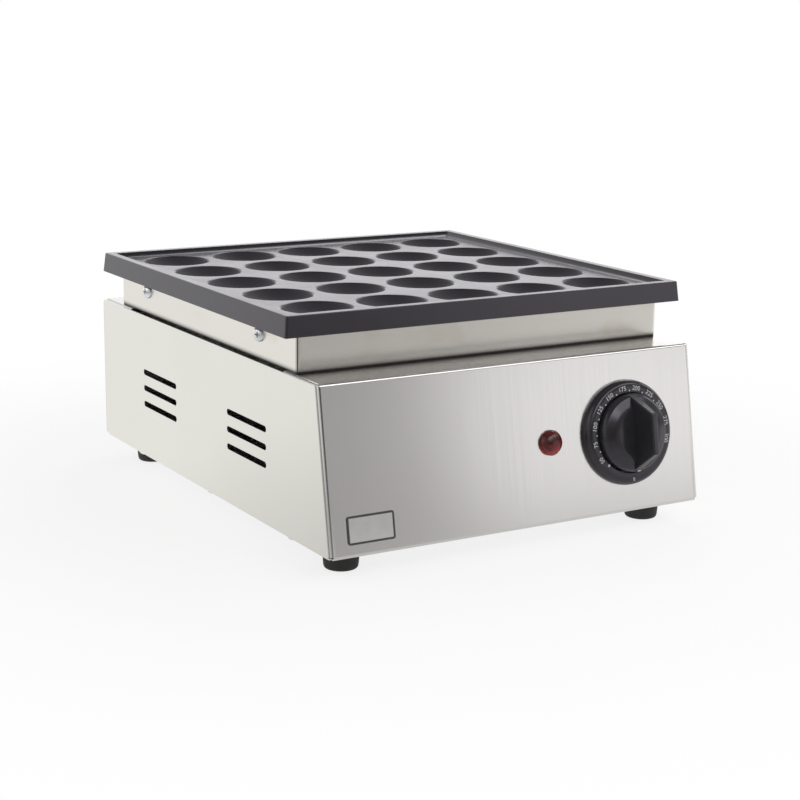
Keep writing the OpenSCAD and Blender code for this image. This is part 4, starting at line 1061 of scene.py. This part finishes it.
slope = math.atan2(SHOULDER_RISE, DISC_RUN)
fresh()
bpy.ops.mesh.primitive_cube_add(size=1, location=(0, 0, 0))
pointer = begin("knob_pointer")
bpy.ops.mesh.select_all(action="SELECT")
bpy.ops.transform.resize(value=(POINTER_W, POINTER_L, POINTER_T), center_override=(0, 0, 0))
pick("edges", lambda e: abs(e.verts[0].co.z - e.verts[1].co.z) > INK)
bpy.ops.mesh.bevel(offset=POINTER_ROUND, segments=4, affect="EDGES")
bpy.ops.object.mode_set(mode="OBJECT")
smooth(pointer)
place(pointer, (POINTER_ASIDE, DISC_RUN / 2 - DISC_R, shoulder_z + SHOULDER_RISE / 2), (slope, 0, 0))
place(pointer, dial_at, panel_turn)
settle(pointer, "knob", ink)

# %% [markdown]
# ## Indicator light
# The light is a clear red dome with a small foot ring, over a dark lamp. The dome is turned as a solid,
# and the lamp inside it is a short turned button, which is what makes the middle look dark.

# %% Turn the lens
LENS_R = 8.75 * MM
LENS_H = 6.5 * MM
LENS_RING_H = 1.6 * MM
LENS_STEP = 0.7 * MM
LENS_DOME_Z = 2.2 * MM
DOME_DEGREES = 9

low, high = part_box("indicator_lens")
lamp_at = Vector(((low.x + high.x) / 2, dial_at.y, dial_at.z))
dome_r, dome_h = LENS_R - LENS_STEP, LENS_H - LENS_DOME_Z
dome = [(LENS_R, 0), (LENS_R, LENS_RING_H), (dome_r, LENS_DOME_Z)]
for degrees in range(DOME_DEGREES, 90, DOME_DEGREES):
    a = math.radians(degrees)
    dome.append((dome_r * math.cos(a), LENS_DOME_Z + dome_h * math.sin(a)))
lens = turned("red_lens_dome", dome, segments=48)
smooth(lens, degrees=50)
place(lens, lamp_at, panel_turn)
settle(lens, "casing", lens_red, ["indicator_lens"])

# %% Turn the lamp
LAMP_R = 4.7 * MM
LAMP_FOOT = 0.2 * MM
LAMP_SIDE = 3.4 * MM
LAMP_TOP = 4.8 * MM
LAMP_TOP_R = 1 * MM
LAMP_ROUND = 1.4 * MM

lamp_profile = eased([(LAMP_R, LAMP_FOOT), (LAMP_R, LAMP_SIDE), (LAMP_TOP_R, LAMP_TOP)],
                     [LAMP_ROUND], steps=4)
bulb = turned("lamp_button", lamp_profile, segments=32)
smooth(bulb, degrees=50)
place(bulb, lamp_at, panel_turn)
settle(bulb, "casing", dark_moulding)

# %% [markdown]
# ## Blank badge
# A small plate sits low on the left of the front panel. It stays blank: a satin face, slightly sunk
# inside a thin dark border.

# %% Shape the badge
BADGE_W = 35 * MM
BADGE_H = 18.6 * MM
BADGE_T = 0.6 * MM
BADGE_BORDER = 1.2 * MM
BADGE_STEP = 0.2 * MM
BADGE_SUNK = 0.15 * MM
BADGE_CORNER = 1.8 * MM
FACING = 0.9

fresh()
bpy.ops.mesh.primitive_plane_add(size=1, location=(0, 0, 0))
badge = begin("badge_blank")
bpy.ops.mesh.select_all(action="SELECT")
bpy.ops.transform.resize(value=(BADGE_W, BADGE_H, 1), center_override=(0, 0, 0))
bpy.ops.mesh.bevel(offset=BADGE_CORNER, segments=5, affect="VERTICES")
bpy.ops.mesh.select_all(action="SELECT")
bpy.ops.mesh.extrude_region_move(TRANSFORM_OT_translate={"value": (0, 0, BADGE_T)})
bpy.ops.mesh.inset(thickness=BADGE_BORDER, depth=0)
bpy.ops.mesh.inset(thickness=BADGE_STEP, depth=-BADGE_SUNK)
bpy.ops.mesh.select_all(action="SELECT")
bpy.ops.mesh.normals_make_consistent(inside=False)
bpy.ops.object.mode_set(mode="OBJECT")
smooth(badge, degrees=30)
low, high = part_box("badge_plate")
place(badge, (low + high) / 2 - outward * BADGE_T / 2, panel_turn)
settle(badge, "casing", badge_border, ["badge_plate"])
badge.data.materials.append(badge_satin)
field = max(badge.data.polygons, key=lambda f: f.area * (f.normal.dot(outward) > FACING))
field.material_index = 1

# %% [markdown]
# ## Screws
# The collar, the rear panel and the base are held by pan-head screws with a cross recess. One head and
# shank is turned for each size, a cross-shaped cutter makes the recess, and copies go where the CAD
# screws are, one piece for each CAD node. Each is turned a little differently, as driven screws are.

# %% Make the screws
END_SHARE, END_H = 0.7, 0.4 * MM
HEAD_SIDE_SHARE = 0.45
HEAD_TOP_SHARE = 0.5
HEAD_MIDDLE_SHARE = 0.2
HEAD_SIDE_EASE, HEAD_TOP_EASE = 0.25, 0.35
RECESS_W, RECESS_L, RECESS_H = 0.16, 1.05, 1.1
RECESS_TAPER = (0.8, 0.55, 1)
M5_R, M5_L, M5_HEAD_R, M5_HEAD_H = 2.5 * MM, 9.5 * MM, 5.25 * MM, 3.8 * MM
M4_R, M4_L, M4_HEAD_R, M4_HEAD_H = 2.0 * MM, 6.7 * MM, 4.0 * MM, 3.1 * MM


def pan_screw(name, shank_r, length, head_r, head_h):
    """A pan-head screw along Z, with the seat of its head at zero."""
    profile = [(END_SHARE * shank_r, -length), (shank_r, END_H - length), (shank_r, 0), (head_r, 0),
               (head_r, HEAD_SIDE_SHARE * head_h), (HEAD_TOP_SHARE * head_r, head_h),
               (HEAD_MIDDLE_SHARE * head_r, head_h)]
    easing = [0, 0, 0, HEAD_SIDE_EASE * head_h, HEAD_TOP_EASE * head_r]
    screw = turned(name, eased(profile, easing, steps=4), segments=32)
    top = (0, 0, head_h)
    for turn in (0, math.pi / 2):
        fresh()
        bpy.ops.mesh.primitive_cube_add(size=1, location=top)
        cutter = begin("recess_cutter")
        bpy.ops.mesh.select_all(action="SELECT")
        bpy.ops.transform.resize(value=(RECESS_W * head_r, RECESS_L * head_r, RECESS_H * head_h),
                                 center_override=top)
        pick("verts", lambda v: v.co.z < 0)
        bpy.ops.transform.resize(value=RECESS_TAPER, center_override=top)
        bpy.ops.object.mode_set(mode="OBJECT")
        place(cutter, top, (0, 0, turn))
        combine(screw, cutter, "DIFFERENCE")
    smooth(screw, degrees=35)
    return screw


collar_screw = pan_screw("collar_screw", M5_R, M5_L, M5_HEAD_R, M5_HEAD_H)
small_screw = pan_screw("small_screw", M4_R, M4_L, M4_HEAD_R, M4_HEAD_H)

# %% Put the screws in their places
def screw_set(model, name, seats, node_name):
    """Copies of a screw at (place, turn) seats, joined into the piece that stands for a CAD node."""
    twins = []
    for where, turn in seats:
        twin = copied(model, name)
        place(twin, where, turn)
        twins.append(twin)
    settle(joined(twins, name), "casing", zinc, [node_name])


def ends(low, high, inset):
    """The two places that lie a little inside a range."""
    return low + inset, high - inset


SIDE_TURN = 0.4
REAR_TURN, REAR_TURN_STEP = 0.3, 9
BASE_TURN_STEP = 5

low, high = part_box("collar_side_screws")
collar_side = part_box("collar")[1].x
side_z = (low.z + high.z) / 2
side_seats = [((s * collar_side, y, side_z), (0, s * math.pi / 2, SIDE_TURN + s * y))
              for s in (-1, 1) for y in ends(low.y, high.y, M5_HEAD_R)]
screw_set(collar_screw, "collar_side_heads", side_seats, "collar_side_screws")

low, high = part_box("rear_panel_screws")
rear_seats = [((x, high.y - M4_HEAD_H, z), (-math.pi / 2, REAR_TURN + REAR_TURN_STEP * z, 0))
              for x in ends(low.x, high.x, M4_HEAD_R) for z in ends(low.z, high.z, M4_HEAD_R)]
screw_set(small_screw, "rear_panel_heads", rear_seats, "rear_panel_screws")

low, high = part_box("base_screws")
front_y, rear_y = ends(low.y, high.y, M4_HEAD_R)
base_seats = [((x, y, low.z + M4_HEAD_H), (math.pi, 0, BASE_TURN_STEP * y))
              for x in ends(low.x, high.x, M4_HEAD_R) for y in (front_y, (low.y + high.y) / 2, rear_y)]
screw_set(small_screw, "base_heads", base_seats, "base_screws")
for model in (collar_screw, small_screw):
    bpy.data.objects.remove(model)
